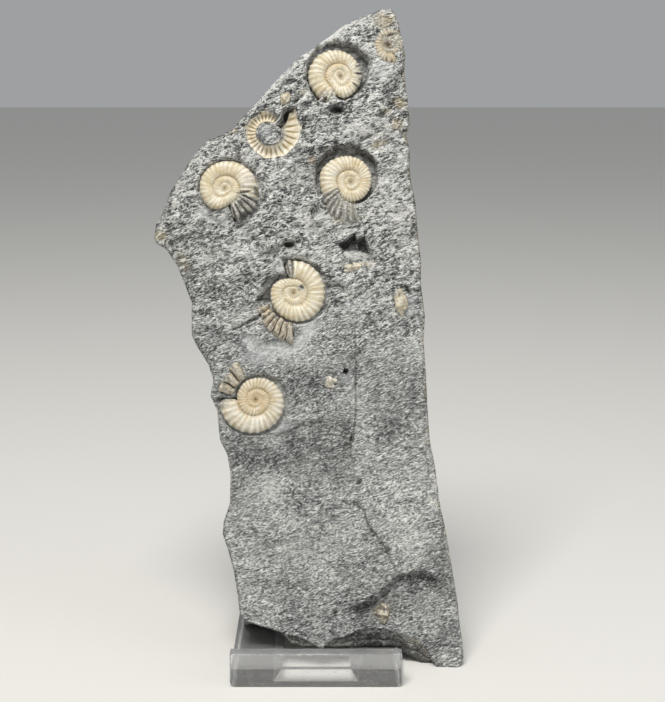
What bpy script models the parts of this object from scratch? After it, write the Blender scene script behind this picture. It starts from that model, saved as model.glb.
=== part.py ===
"""A tall slab of grey marl with cream ammonites in its face, leaning in a clear display stand.

Lengths are written in millimetres and become metres through MM. The stone is modelled in the
slab's own frame, whose X runs across the fossil face, Z up along it and Y into the stone. That
frame leans back from the vertical and stands on the table. World +Z is up and the fossil face
looks to -Y.
"""
import math

import bmesh
import bpy
import numpy as np
from mathutils import Matrix, Vector

MM = 0.001

# The whole object
GAP = 0.3
LEAN = math.radians(12.0)
SLAB_X = 7.2
SLAB_Y = -29.5
STAND_X = 2.4
STAND_Y = -43.0

# The slab
THICK_LOW = 30.2
THICK_MIDDLE = 27.0
THICK_TOP = 18.5
LAYER_DEPTHS = [0.0, 0.8, 2.6, 3.2, 6.5, 17.0, 30.0]
COLUMNS = 24
ROWS = 56
SLAB_KEEP = 0.325
EDGE_ROUND = 0.9

# The stand, a sheet bent to a lip, a slotted base, a back panel and a rear foot
SHEET = 4.3
STAND_WIDTH = 50.0
LIP_HEIGHT = 10.1
SLOT_TOP_WIDTH = 20.0
SLOT_BOTTOM_WIDTH = 25.0
SLOT_FRONT = 6.3
SLOT_LENGTH = 37.5
PANEL_DEPTH = 31.3
PANEL_TOP = 78.0
PANEL_CORNER = 9.0
FOOT_WIDTH = 20.0
FOOT_REAR = 86.0
CORNER_ROUND = 1.6

# Outline of the slab's face, in four sides, as distance across and height up the face
BOTTOM_EDGE = [
    (-27.8, 15.2), (-25.6, 13.6), (-23.6, 12.8), (-17.6, 11.0), (-14.9, 10.2), (-10.6, 9.3),
    (-7.4, 8.0), (-3.2, 5.7), (-1.4, 7.4), (0.4, 8.8), (3.8, 9.4), (6.8, 10.8), (12.4, 11.7),
    (16.4, 11.2), (19.6, 10.2), (22.4, 8.9), (25.6, 8.7), (27.6, 6.0), (29.6, 3.3), (31.2, 0.0),
    (37.6, 0.0), (39.4, 2.8),
]
LEFT_EDGE = [
    (-27.8, 15.2), (-28.6, 21.8), (-29.6, 28.6), (-31.6, 35.8), (-33.0, 40.0), (-32.6, 43.6),
    (-30.8, 49.4), (-30.6, 58.6), (-31.6, 63.8), (-33.8, 68.2), (-34.6, 77.0), (-36.6, 81.4),
    (-35.8, 86.2), (-37.4, 91.0), (-41.0, 96.8), (-42.3, 99.8), (-42.3, 109.6), (-44.6, 115.4),
    (-46.6, 120.4), (-50.0, 125.6), (-53.0, 127.4), (-53.8, 129.4),
]
TOP_EDGE = [
    (-53.8, 129.4), (-53.2, 133.0), (-51.2, 136.6), (-48.4, 143.8), (-43.6, 151.0),
    (-40.6, 155.2), (-37.4, 158.6), (-33.2, 160.0), (-29.8, 161.8), (-26.0, 166.6),
    (-18.8, 174.4), (-11.6, 182.0), (-2.0, 188.8), (2.8, 192.4), (7.6, 195.2), (12.4, 196.6),
    (15.2, 197.8), (17.6, 198.0),
]
RIGHT_EDGE = [
    (39.4, 2.8), (39.2, 6.8), (38.2, 14.2), (37.6, 20.8), (36.2, 28.6), (34.0, 41.2),
    (32.0, 50.2), (30.8, 60.4), (29.2, 68.2), (28.4, 80.2), (28.0, 89.2), (27.4, 98.2),
    (27.8, 105.4), (26.6, 114.8), (26.6, 121.6), (25.4, 132.8), (24.8, 140.2), (23.6, 145.6),
    (23.0, 150.4), (23.2, 155.2), (22.0, 160.0), (23.2, 163.6), (22.6, 170.2), (21.4, 178.6),
    (21.8, 183.4), (20.8, 188.8), (19.6, 194.2), (17.6, 198.0),
]
# Height above the table of the lowest bed under the face, along the bottom
UNDER_BED = [
    (-27.8, 13.6), (-17.6, 9.6), (-14.9, 8.4), (-12.8, 5.6), (-9.2, 4.8), (-3.2, 5.0),
    (0.8, 4.8), (20.6, 4.7), (21.4, 2.7), (24.9, 1.2), (27.3, 0.0), (37.6, 0.0), (39.4, 2.4),
]
# Height above the table of the slab's underside at the back
UNDER_BACK = [
    (-27.8, 4.8), (-14.9, 4.7), (0.8, 5.4), (20.6, 4.8), (27.3, 3.6), (39.4, 7.0),
]

# Each ammonite: centre on the face, way of coiling, direction of the mouth, whorl growth a
# turn, and rim radii at every eighth of a turn back from the mouth
AMMONITES = {
    "ammonite_top": dict(
        centre=(2.5, 177.6), turn=1, mouth=228, growth=2.05,
        rim=[9.45, 9.75, 9.05, 7.6, 6.5, 6.25, 6.2, 6.5],
    ),
    "ammonite_left": dict(
        centre=(-32.4, 143.9), turn=-1, mouth=285, growth=2.2,
        rim=[11.2, 10.8, 9.7, 8.6, 7.9, 7.65, 7.4, 7.1],
    ),
    "ammonite_right": dict(
        centre=(5.5, 145.8), turn=1, mouth=205, growth=2.2,
        rim=[9.3, 9.4, 8.1, 7.2, 6.45, 6.0, 6.0, 5.65],
    ),
    "ammonite_centre": dict(
        centre=(-11.8, 112.4), turn=1, mouth=108, growth=2.2,
        rim=[9.9, 9.7, 9.5, 9.4, 8.8, 7.75, 6.95, 6.3],
    ),
    "ammonite_low_left": dict(
        centre=(-23.0, 80.5), turn=-1, mouth=178, growth=2.0,
        rim=[11.2, 11.0, 10.2, 9.2, 8.4, 7.15, 6.35, 6.0],
    ),
}
WORN_AMMONITE = dict(
    centre=(16.9, 186.9), turn=1, mouth=300, growth=2.0,
    rim=[5.7, 5.0, 4.5, 4.5, 5.0, 4.9, 4.3, 4.0],
)
MOULD = dict(
    centre=(-19.7, 160.7), turn=1, mouth=40, growth=1.8,
    rim=[10.9, 10.4, 9.0, 7.9, 7.0, 6.85, 6.55, 6.4],
    core=[3.3, 4.8, 4.5, 3.85, 3.45, 3.2, 3.15, 3.15],
)
for shell in AMMONITES.values():
    shell.update(rim_depth=1.4, seat_depth=4.2)
WORN_AMMONITE.update(rim_depth=0.8, seat_depth=2.6)
RIBS = 26
RIB_RISE = 0.34
COIL_TURNS = 1.6
WHORL_RISE = 0.42
WORN_RISE = 0.26
MOULD_TURN = 350.0
MOULD_DEPTH = 1.7

# Seats and hollows: the clear angle before a mouth, extra room beside a rim, how far a cutter
# stands out of the face, and the bowl that surrounds a coil
MOUTH_CLEAR = 3.5
SIDE_SPARE = 0.17
OPEN_FRONT = 5.0
MOAT_REACH = 3.2
MOAT_DEEP = 2.6

# Broken stretches of whorl: the arc's centre, radii, first and last direction, ribs
BROKEN_WHORLS = {
    "broken_whorl_centre": dict(
        centre=(-11.8, 112.4), inner=(7.9, 9.3), outer=(10.8, 14.8), span=(203, 264), ribs=7,
    ),
    "broken_whorl_low_left": dict(
        centre=(-23.0, 80.5), inner=(6.9, 7.0), outer=(12.0, 11.4), span=(114, 170), ribs=3,
    ),
}
# One rib of a broken whorl: share of its width, and height of its top
RIB_BLOCK = [(0.0, 0.0), (0.2, 1.0), (0.8, 0.9)]
BROKEN_TOP = -0.6
BROKEN_GROOVE = 1.4
BROKEN_SIDE = 1.4
BROKEN_SEAT = 3.4
# Small shell pieces: centre, half sizes across, along and into the stone, turn in degrees
FRAGMENTS = {
    "shell_fragment_upper": ((-14.2, 170.6), (1.3, 2.3, 1.5), -12),
    "shell_fragment_middle": ((6.8, 120.3), (3.3, 1.3, 1.4), 4),
    "shell_fragment_right": ((20.4, 109.6), (1.9, 4.2, 1.5), 8),
    "shell_fragment_foot": ((15.2, 16.3), (1.7, 2.8, 1.4), -8),
    "pale_nodule": ((-0.5, 86.0), (2.2, 1.8, 1.6), 15),
}
LUMP_DEPTH = 0.4
# Pits: centre on the face, radii across and up, depth, corners, turn in degrees
PITS = [
    ((6.4, 127.2), (5.4, 4.0), 3.4, 3, 95),
    ((-13.7, 127.4), (2.4, 1.6), 2.4, 5, 20),
    ((3.9, 88.9), (1.4, 1.2), 2.6, 4, 10),
    ((1.2, 168.2), (2.8, 1.5), 3.0, 6, 0),
    ((-11.6, 165.6), (2.6, 3.2), 3.6, 5, 35),
    ((22.6, 25.0), (8.0, 2.6), 1.4, 7, 12),
    ((-5.4, 135.6), (1.0, 2.2), 1.8, 4, 30),
    ((22.6, 113.4), (0.9, 1.4), 1.8, 4, 0),
]
# Flat breaks that slope away on the back: where each starts, its direction, its fall per mm
BACK_BREAKS = [
    ((-20.0, 110.0), 165, 0.13),
    ((10.0, 118.0), 15, 0.12),
    ((-18.0, 58.0), 185, 0.18),
    ((17.0, 50.0), -8, 0.15),
    ((0.0, 150.0), 80, 0.05),
]
# The bed that has come off the upper half of the back
BACK_LEDGE = 1.4
BACK_LEDGE_HEIGHT = 118.0
# The joint that steps down the lower half of the face
STEP_LINE = [(5.2, 72.8), (8.0, 56.2), (8.8, 47.2), (12.8, 39.8), (20.0, 28.6), (26.0, 20.0)]
STEP_RISE = 0.7

for old in list(bpy.data.objects):
    bpy.data.objects.remove(old, do_unlink=True)

parts = bpy.data.collections.new("fossil_ammonite_slab")
cutters = bpy.data.collections.new("cutters")
bpy.context.scene.collection.children.link(parts)
bpy.context.scene.collection.children.link(cutters)


def make_material(name, color, roughness, transmission=0.0):
    """Make a Principled material of one plain colour."""
    material = bpy.data.materials.new(name)
    material.use_nodes = True
    shader = material.node_tree.nodes["Principled BSDF"]
    shader.inputs["Base Color"].default_value = (*color, 1.0)
    shader.inputs["Roughness"].default_value = roughness
    shader.inputs["Metallic"].default_value = 0.0
    shader.inputs["Transmission Weight"].default_value = transmission
    return material


marl = make_material("marl", (0.31, 0.31, 0.29), 0.9)
calcite = make_material("calcite", (0.68, 0.60, 0.44), 0.55)
worn_shell = make_material("worn_shell", (0.45, 0.41, 0.33), 0.7)
clear_plastic = make_material("clear_plastic", (0.9, 0.92, 0.95), 0.08, 0.9)

slab_frame = bpy.data.objects.new("slab_frame", None)
slab_frame.location = (SLAB_X * MM, SLAB_Y * MM, 0.0)
slab_frame.rotation_euler = (-LEAN, 0.0, 0.0)
parts.objects.link(slab_frame)

stand_frame = bpy.data.objects.new("stand_frame", None)
stand_frame.location = (STAND_X * MM, STAND_Y * MM, 0.0)
parts.objects.link(stand_frame)


def add_object(name, bm, material, parent, collection=parts):
    """Turn a bmesh whose vertices are in millimetres into an object under parent."""
    bmesh.ops.scale(bm, vec=(MM, MM, MM), verts=bm.verts)
    bmesh.ops.recalc_face_normals(bm, faces=bm.faces)
    mesh = bpy.data.meshes.new(name)
    bm.to_mesh(mesh)
    bm.free()
    obj = bpy.data.objects.new(name, mesh)
    obj.parent = parent
    collection.objects.link(obj)
    if collection is cutters:
        obj.hide_render = True
        obj.display_type = "WIRE"
    else:
        mesh.materials.append(material)
    return obj


def cut(obj, cutter):
    """Take the cutter's volume away from the object."""
    modifier = obj.modifiers.new("cut_" + cutter.name, "BOOLEAN")
    modifier.operation = "DIFFERENCE"
    modifier.solver = "EXACT"
    modifier.object = cutter


def smooth(x):
    """Ease from 0 to 1 as x goes from 0 to 1."""
    x = min(max(x, 0.0), 1.0)
    return x * x * (3.0 - 2.0 * x)


def along(points, fraction):
    """Point at a fraction of the length of a line of points."""
    line = np.array(points)
    steps = np.hypot(*np.diff(line, axis=0).T)
    reach = np.concatenate([[0.0], np.cumsum(steps)])
    at = fraction * reach[-1]
    return np.array([np.interp(at, reach, line[:, 0]), np.interp(at, reach, line[:, 1])])


def face_point(s, t):
    """Spot on the face at s across and t up, blended from the four sides of the outline."""
    low, high = along(BOTTOM_EDGE, s), along(TOP_EDGE, s)
    left, right = along(LEFT_EDGE, t), along(RIGHT_EDGE, t)
    corners = (
        (1 - s) * (1 - t) * np.array(BOTTOM_EDGE[0]) + s * (1 - t) * np.array(BOTTOM_EDGE[-1])
        + (1 - s) * t * np.array(TOP_EDGE[0]) + s * t * np.array(TOP_EDGE[-1])
    )
    return (1 - t) * low + t * high + (1 - s) * left + s * right - corners


def face_relief(u, v):
    """How far the face stands out at (u, v): slow swells, rougher high up, and the joint's step."""
    swell = 0.5 * math.sin(u / 9.0 + 1.3) * math.sin(v / 13.0 + 0.4)
    rough = 0.4 * smooth((v - 95.0) / 40.0) * math.sin((u + 0.6 * v) / 3.1) * math.sin(v / 4.3)
    step_u = np.interp(-v, [-p[1] for p in STEP_LINE], [p[0] for p in STEP_LINE])
    low_half = smooth((78.0 - v) / 8.0) * smooth((v - 16.0) / 6.0)
    step = STEP_RISE * low_half * smooth((u - step_u + 1.5) / 3.0)
    return swell + rough + step


def thickness(u, v):
    """Depth of the slab behind (u, v): thin at the tip and the left corner, broken at the back."""
    full = np.interp(v, [0.0, 80.0, 130.0, 198.0], [THICK_LOW, THICK_LOW, THICK_MIDDLE, THICK_TOP])
    corner = 6.0 * smooth((-u - 34.0) / 20.0)
    swell = 1.1 * math.sin(u / 12.0 + 0.5) * math.sin(v / 21.0 + 2.2)
    fall = 0.0
    for start, direction, slope in BACK_BREAKS:
        way = math.radians(direction)
        beyond = (u - start[0]) * math.cos(way) + (v - start[1]) * math.sin(way)
        fall = max(fall, slope * beyond)
    ledge_line = BACK_LEDGE_HEIGHT + 0.35 * u + 3.0 * math.sin(u / 6.0)
    ledge = BACK_LEDGE * smooth((v - ledge_line) / 2.0)
    return full - corner - fall - ledge + min(swell, 0.8)


def under_height(u, depth):
    """Height above the table of the slab's underside at a depth behind the face."""
    front = np.interp(u, [p[0] for p in BOTTOM_EDGE], [p[1] for p in BOTTOM_EDGE])
    front *= math.cos(LEAN)
    bed = np.interp(u, [p[0] for p in UNDER_BED], [p[1] for p in UNDER_BED])
    back = np.interp(u, [p[0] for p in UNDER_BACK], [p[1] for p in UNDER_BACK])
    ledge = np.interp(depth, LAYER_DEPTHS[:5], [0.0, 0.42, 0.5, 0.94, 1.0])
    level = front + (bed - front) * ledge
    return level + (back - level) * smooth((depth - 6.5) / 14.0)


def slab_point(s, r, t):
    """Place a point of the block: s across, r into the stone and t up, each from 0 to 1."""
    u, v = face_point(s, t)
    layer = r * (len(LAYER_DEPTHS) - 1)
    share = np.interp(layer, range(len(LAYER_DEPTHS)), LAYER_DEPTHS) / LAYER_DEPTHS[-1]
    on_side = s in (0.0, 1.0) or t == 1.0
    front = -face_relief(u, v) + (EDGE_ROUND if on_side else 0.0)
    depth = front + share * (thickness(u, v) - front)
    if on_side:
        # Bedding shows as thin steps around the sides, which draw in towards the back
        inset = 0.5 * math.sin(layer * 2.6 + v / 17.0) + 2.2 * share ** 2
        toward_middle = np.array([-6.0, 100.0]) - np.array([u, v])
        toward_middle /= np.linalg.norm(toward_middle)
        u, v = np.array([u, v]) + inset * share ** 0.3 * toward_middle
    low_v = (under_height(u, max(depth, 0.0)) + depth * math.sin(LEAN)) / math.cos(LEAN)
    lift = low_v - face_point(s, 0.0)[1]
    v += lift * (1.0 - t) ** 7
    return Vector((u, depth, v))


def lattice(across, deep, tall):
    """A unit block with evenly spaced loop cuts along its three directions."""
    bm = bmesh.new()
    bmesh.ops.create_cube(bm, size=1.0, matrix=Matrix.Translation((0.5, 0.5, 0.5)))
    for axis, count in enumerate((across, deep, tall)):
        normal = Vector([1.0 if i == axis else 0.0 for i in range(3)])
        for k in range(1, count):
            geometry = bm.verts[:] + bm.edges[:] + bm.faces[:]
            bmesh.ops.bisect_plane(bm, geom=geometry, plane_co=normal * (k / count), plane_no=normal)
    return bm


def make_slab():
    """The stone: a block of loop cuts moved to the slab's shape and thinned where it is plain."""
    bm = lattice(COLUMNS, len(LAYER_DEPTHS) - 1, ROWS)
    for vert in bm.verts:
        s, r, t = (round(c, 5) for c in vert.co)
        vert.co = slab_point(s, r, t)
    bmesh.ops.triangulate(bm, faces=bm.faces)
    slab = add_object("marl_slab", bm, marl, slab_frame)
    thin = slab.modifiers.new("thin", "DECIMATE")
    thin.ratio = SLAB_KEEP
    return slab


def spiral_radius(back, rim, growth):
    """Rim radius at an angle back from the mouth, eased through the radii of one turn.

    Each earlier turn repeats the last one, smaller by the growth.
    """
    place = back / 45.0
    first = math.floor(place)
    f = place - first
    p0, p1, p2, p3 = (
        math.log(rim[j % 8]) - (j // 8) * math.log(growth) for j in range(first - 1, first + 3)
    )
    bend = 2 * p0 - 5 * p1 + 4 * p2 - p3
    turn = 3 * (p1 - p2) + p3 - p0
    return math.exp(0.5 * (2 * p1 + (p2 - p0) * f + bend * f * f + turn * f ** 3))


def polar(shell, back, radius, depth):
    """Point of a coil at an angle back from its mouth, in the slab's frame."""
    angle = math.radians(shell["mouth"] - shell["turn"] * back)
    u, v = shell["centre"]
    return Vector((u + radius * math.cos(angle), depth, v + radius * math.sin(angle)))


def coil_mesh(shell, steps, turns, rise, rib_rise):
    """A ribbed coil: a strip wound in from the mouth, a plain core, and a hollow cone under it.

    The inner edge of each whorl is the outer edge of the whorl a turn earlier.
    """
    bm = bmesh.new()
    rows = round(steps * turns)
    rim, growth, rim_depth = shell["rim"], shell["growth"], shell["rim_depth"]
    edge = []
    shoulders = []
    for k in range(rows + steps + 1):
        back = k * 360.0 / steps
        radius = spiral_radius(back, rim, growth)
        width = radius - spiral_radius(back + 360.0, rim, growth)
        rib = rib_rise * width / rim[0] * (1.0 if k % 2 == 0 else -0.6)
        outer = radius + (rib if k < steps else 0.0)
        depth = rim_depth - (0.0 if k < steps else 0.4 * rise * width)
        edge.append(bm.verts.new(polar(shell, back, outer, depth)))
        if k <= rows:
            top = rise * width + rib
            places = ((0.24, 0.86), (0.66, 1.0))
            spots = [polar(shell, back, radius - a * width, rim_depth - b * top) for a, b in places]
            shoulders.append([bm.verts.new(spot) for spot in spots])
    for k in range(rows):
        here = [edge[k], *shoulders[k], edge[k + steps]]
        there = [edge[k + 1], *shoulders[k + 1], edge[k + 1 + steps]]
        for i in range(3):
            bm.faces.new((here[i], here[i + 1], there[i + 1], there[i]))
    u, v = shell["centre"]
    core = bm.verts.new((u, rim_depth - 0.3 * rise, v))
    close_fan(bm, edge[rows:rows + steps + 1] + shoulders[rows][::-1], core)
    below = bm.verts.new((u, shell["seat_depth"], v))
    close_fan(bm, edge[:steps + 1] + shoulders[0][::-1], below)
    return bm


def close_fan(bm, loop, tip):
    """Close a loop of vertices with triangles that meet in one tip."""
    for a, b in zip(loop, loop[1:] + loop[:1]):
        bm.faces.new((a, b, tip))


def seat_mesh(shell, sides):
    """The hole that a coil sits in: its outline and its cone, larger all round by the gap."""
    bm = bmesh.new()
    ring = []
    for k in range(sides + 1):
        back = k * 360.0 / sides - (MOUTH_CLEAR if k == 0 else 0.0)
        ring.append((back, spiral_radius(back, shell["rim"], shell["growth"]) + GAP + SIDE_SPARE))
    top = [bm.verts.new(polar(shell, back, radius, -OPEN_FRONT)) for back, radius in ring]
    low = [bm.verts.new(polar(shell, back, radius, shell["rim_depth"] + 0.1)) for back, radius in ring]
    u, v = shell["centre"]
    close_fan(bm, low, bm.verts.new((u, shell["seat_depth"] + 1.5 * GAP, v)))
    for i in range(len(ring)):
        j = (i + 1) % len(ring)
        bm.faces.new((top[i], top[j], low[j], low[i]))
    bm.faces.new(top)
    return bm


def moat_mesh(shell):
    """A shallow bowl around a coil, where the stone was worked away from the shell."""
    bm = bmesh.new()
    bmesh.ops.create_uvsphere(bm, u_segments=18, v_segments=8, radius=1.0)
    turned = Matrix.Rotation(math.radians(90.0), 4, "X")
    bmesh.ops.transform(bm, matrix=turned, verts=bm.verts)
    reach = 0.5 * (max(shell["rim"]) + min(shell["rim"])) + MOAT_REACH
    bmesh.ops.scale(bm, vec=(reach, MOAT_DEEP, reach), verts=bm.verts)
    u, v = shell["centre"]
    bmesh.ops.translate(bm, vec=(u + 0.8, -0.2, v + 1.0), verts=bm.verts)
    return bm


def band_mesh(rings):
    """A closed band from a row of closed cross sections with equal numbers of points."""
    bm = bmesh.new()
    loops = [[bm.verts.new(point) for point in ring] for ring in rings]
    for here, there in zip(loops, loops[1:]):
        for i in range(len(here)):
            j = (i + 1) % len(here)
            bm.faces.new((here[i], here[j], there[j], there[i]))
    bm.faces.new(loops[0])
    bm.faces.new(loops[-1][::-1])
    bmesh.ops.recalc_face_normals(bm, faces=bm.faces)
    return bm


def mould_rings(shell, grow):
    """Cross sections of the shell-lined mould: a ribbed trough that winds around a stone core."""
    rings = []
    steps = 40
    for k in range(steps + 1):
        back = k * MOULD_TURN / steps
        if grow:
            back += (k - steps / 2) * 2.0 * MOUTH_CLEAR / steps
        outer = spiral_radius(back, shell["rim"], shell["growth"]) + grow
        inner = spiral_radius(back, shell["core"], 1.0) - grow
        middle = 0.45 * inner + 0.55 * outer
        rib = 0.0 if grow else RIB_RISE * (1.0 if k % 2 == 0 else -1.0)
        floor = MOULD_DEPTH + rib
        if grow:
            top = [(outer, -OPEN_FRONT), (middle, -OPEN_FRONT), (inner, -OPEN_FRONT)]
        else:
            top = [(outer, 0.3), (middle, floor), (inner, 0.8)]
        low = [(inner, 1.6 + grow), (middle, MOULD_DEPTH + 1.0 + grow), (outer, 1.2 + grow)]
        rings.append([polar(shell, back, radius, depth) for radius, depth in top + low])
    return rings


def broken_rings(spec, grow):
    """Cross sections of a broken stretch of whorl: blocky ribs with grooves between them."""
    rings = []
    first, last = spec["span"]
    places = [(n + share, lift) for n in range(spec["ribs"]) for share, lift in RIB_BLOCK]
    places.append((spec["ribs"], RIB_BLOCK[0][1]))
    for place, lift in places:
        f = place / spec["ribs"]
        turn = first + (last - first) * f
        if grow:
            turn += (f - 0.5) * 2.0 * MOUTH_CLEAR
        inner = spec["inner"][0] + (spec["inner"][1] - spec["inner"][0]) * f - grow
        outer = spec["outer"][0] + (spec["outer"][1] - spec["outer"][0]) * f + grow
        width = outer - inner
        crest = -OPEN_FRONT if grow else BROKEN_TOP + (1.0 - lift) * BROKEN_GROOVE
        section = [
            (outer, crest if grow else BROKEN_SIDE), (outer - 0.25 * width, crest),
            (outer - 0.75 * width, crest), (inner, crest if grow else BROKEN_SIDE),
            (inner, BROKEN_SEAT + grow), (outer, BROKEN_SEAT + grow),
        ]
        shell = dict(centre=spec["centre"], turn=-1, mouth=0.0)
        rings.append([polar(shell, turn, radius, depth) for radius, depth in section])
    return rings


def lump_mesh(centre, half, turn, grow=0.0):
    """A rounded shell piece, half sunk in the face."""
    bm = bmesh.new()
    bmesh.ops.create_icosphere(bm, subdivisions=2, radius=1.0)
    size = (half[0] + grow, half[2] + grow, half[1] + grow)
    bmesh.ops.scale(bm, vec=size, verts=bm.verts)
    turned = Matrix.Rotation(math.radians(turn), 4, "Y")
    bmesh.ops.transform(bm, matrix=turned, verts=bm.verts)
    bmesh.ops.translate(bm, vec=(centre[0], LUMP_DEPTH, centre[1]), verts=bm.verts)
    return bm


def pit_mesh(centre, radii, deep, corners, turn):
    """A cornered funnel that is cut into the face."""
    bm = bmesh.new()
    bmesh.ops.create_cone(
        bm, cap_ends=True, segments=corners, radius1=1.3, radius2=0.45, depth=2.0 * deep,
    )
    turned = Matrix.Rotation(math.radians(turn), 4, "Y") @ Matrix.Rotation(math.radians(-90.0), 4, "X")
    bmesh.ops.scale(bm, vec=(radii[0], radii[1], 1.0), verts=bm.verts)
    bmesh.ops.transform(bm, matrix=turned, verts=bm.verts)
    bmesh.ops.translate(bm, vec=(centre[0], 0.0, centre[1]), verts=bm.verts)
    return bm


# The stone and the hollows in its face
slab = make_slab()
for number, pit in enumerate(PITS):
    hollow = add_object(f"pit_{number}", pit_mesh(*pit), None, slab_frame, cutters)
    cut(slab, hollow)

# The ammonites, each in a seat in the stone
for name, shell in AMMONITES.items():
    cut(slab, add_object(name + "_moat", moat_mesh(shell), None, slab_frame, cutters))
    cut(slab, add_object(name + "_seat", seat_mesh(shell, RIBS), None, slab_frame, cutters))
    bm = coil_mesh(shell, 2 * RIBS, COIL_TURNS, WHORL_RISE, RIB_RISE)
    add_object(name, bm, calcite, slab_frame)

corner_seat = seat_mesh(WORN_AMMONITE, RIBS // 2)
cut(slab, add_object("ammonite_corner_seat", corner_seat, None, slab_frame, cutters))
corner_coil = coil_mesh(WORN_AMMONITE, RIBS, 1.0, WORN_RISE, RIB_RISE)
add_object("ammonite_corner", corner_coil, worn_shell, slab_frame)

mould_seat = band_mesh(mould_rings(MOULD, GAP))
cut(slab, add_object("ammonite_mould_seat", mould_seat, None, slab_frame, cutters))
add_object("ammonite_mould", band_mesh(mould_rings(MOULD, 0.0)), calcite, slab_frame)

# Broken whorls and loose shell pieces
for name, spec in BROKEN_WHORLS.items():
    seat = band_mesh(broken_rings(spec, GAP))
    cut(slab, add_object(name + "_seat", seat, None, slab_frame, cutters))
    add_object(name, band_mesh(broken_rings(spec, 0.0)), worn_shell, slab_frame)

for name, (centre, half, turn) in FRAGMENTS.items():
    seat = lump_mesh(centre, half, turn, GAP)
    cut(slab, add_object(name + "_seat", seat, None, slab_frame, cutters))
    add_object(name, lump_mesh(centre, half, turn), calcite, slab_frame)


def stand_mesh():
    """The bent sheet: its side profile drawn across the width, with its free corners rounded."""
    reach = SLAB_Y - STAND_Y

    def on_sheet(depth, v):
        """Distance back and height of a point given in the slab's frame."""
        y = reach + depth * math.cos(LEAN) + v * math.sin(LEAN)
        return y, v * math.cos(LEAN) - depth * math.sin(LEAN)

    def at_height(depth, z):
        """Where the plane at this depth behind the face reaches a height above the table."""
        return on_sheet(depth, (z + depth * math.sin(LEAN)) / math.cos(LEAN))

    rear = PANEL_DEPTH + SHEET
    profile = [
        (0.0, 0.0), at_height(rear, 0.0), on_sheet(rear, PANEL_TOP),
        on_sheet(PANEL_DEPTH, PANEL_TOP), at_height(PANEL_DEPTH, SHEET), (SHEET, SHEET),
        (SHEET, LIP_HEIGHT), (0.0, LIP_HEIGHT),
    ]
    half = STAND_WIDTH / 2
    bm = band_mesh([[(x, y, z) for y, z in profile] for x in (-half, half)])
    low = [e for e in bm.edges if all(v.co.z < 0.01 for v in e.verts) and is_side(e, half)]
    bmesh.ops.bevel(bm, geom=low, offset=CORNER_ROUND, segments=4, profile=0.5, affect="EDGES")
    top = max(v.co.z for v in bm.verts) - SHEET
    high = [e for e in bm.edges if all(v.co.z > top for v in e.verts) and is_side(e, half)]
    bmesh.ops.bevel(bm, geom=high, offset=PANEL_CORNER, segments=6, profile=0.5, affect="EDGES")
    return bm


def is_side(edge, half):
    """Whether both ends of an edge lie on the same side of the stand."""
    first, last = (vert.co.x for vert in edge.verts)
    return abs(first - last) < 0.01 and abs(abs(first) - half) < 0.01


def block_mesh(low, high, spread=0.0):
    """A box between two corners, wider at its bottom by the spread on both sides."""
    bm = bmesh.new()
    size = Vector(high) - Vector(low)
    bmesh.ops.create_cube(bm, size=1.0)
    bmesh.ops.scale(bm, vec=size, verts=bm.verts)
    bmesh.ops.translate(bm, vec=(Vector(low) + Vector(high)) / 2, verts=bm.verts)
    for vert in bm.verts:
        if vert.co.z < (low[2] + high[2]) / 2:
            vert.co.x += math.copysign(spread, vert.co.x)
    return bm


# The stand
stand = add_object("display_stand", stand_mesh(), clear_plastic, stand_frame)
run_out = 1.0
slope = (SLOT_BOTTOM_WIDTH - SLOT_TOP_WIDTH) / 2 / SHEET
slot_half = SLOT_TOP_WIDTH / 2 - slope * run_out
slot = block_mesh(
    (-slot_half, SLOT_FRONT, -run_out), (slot_half, SLOT_FRONT + SLOT_LENGTH, SHEET + run_out),
    slope * (SHEET + 2 * run_out),
)
cut(stand, add_object("stand_slot", slot, None, stand_frame, cutters))
foot_front = SLOT_FRONT + SLOT_LENGTH + 1.0
foot = block_mesh((-FOOT_WIDTH / 2, foot_front, 0.0), (FOOT_WIDTH / 2, FOOT_REAR, SHEET))
corners = [e for e in foot.edges if all(v.co.y > FOOT_REAR - 0.01 for v in e.verts)]
corners = [e for e in corners if abs(e.verts[0].co.x - e.verts[1].co.x) < 0.01]
bmesh.ops.bevel(foot, geom=corners, offset=4.0, segments=4, profile=0.5, affect="EDGES")
join = stand.modifiers.new("rear_foot", "BOOLEAN")
join.operation = "UNION"
join.solver = "EXACT"
join.object = add_object("stand_rear_foot", foot, None, stand_frame, cutters)
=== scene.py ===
"""A tall slab of grey marl with cream ammonites in its face, leaning in a clear display stand.

Sizes are in millimetres unless a name says otherwise, and become metres as each mesh is made.
The stone's own frame is used for all that is on it: u runs across the fossil face, v up along
it, and depth into the stone. World +Z is up and the face looks to -Y.
"""
import math

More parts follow.
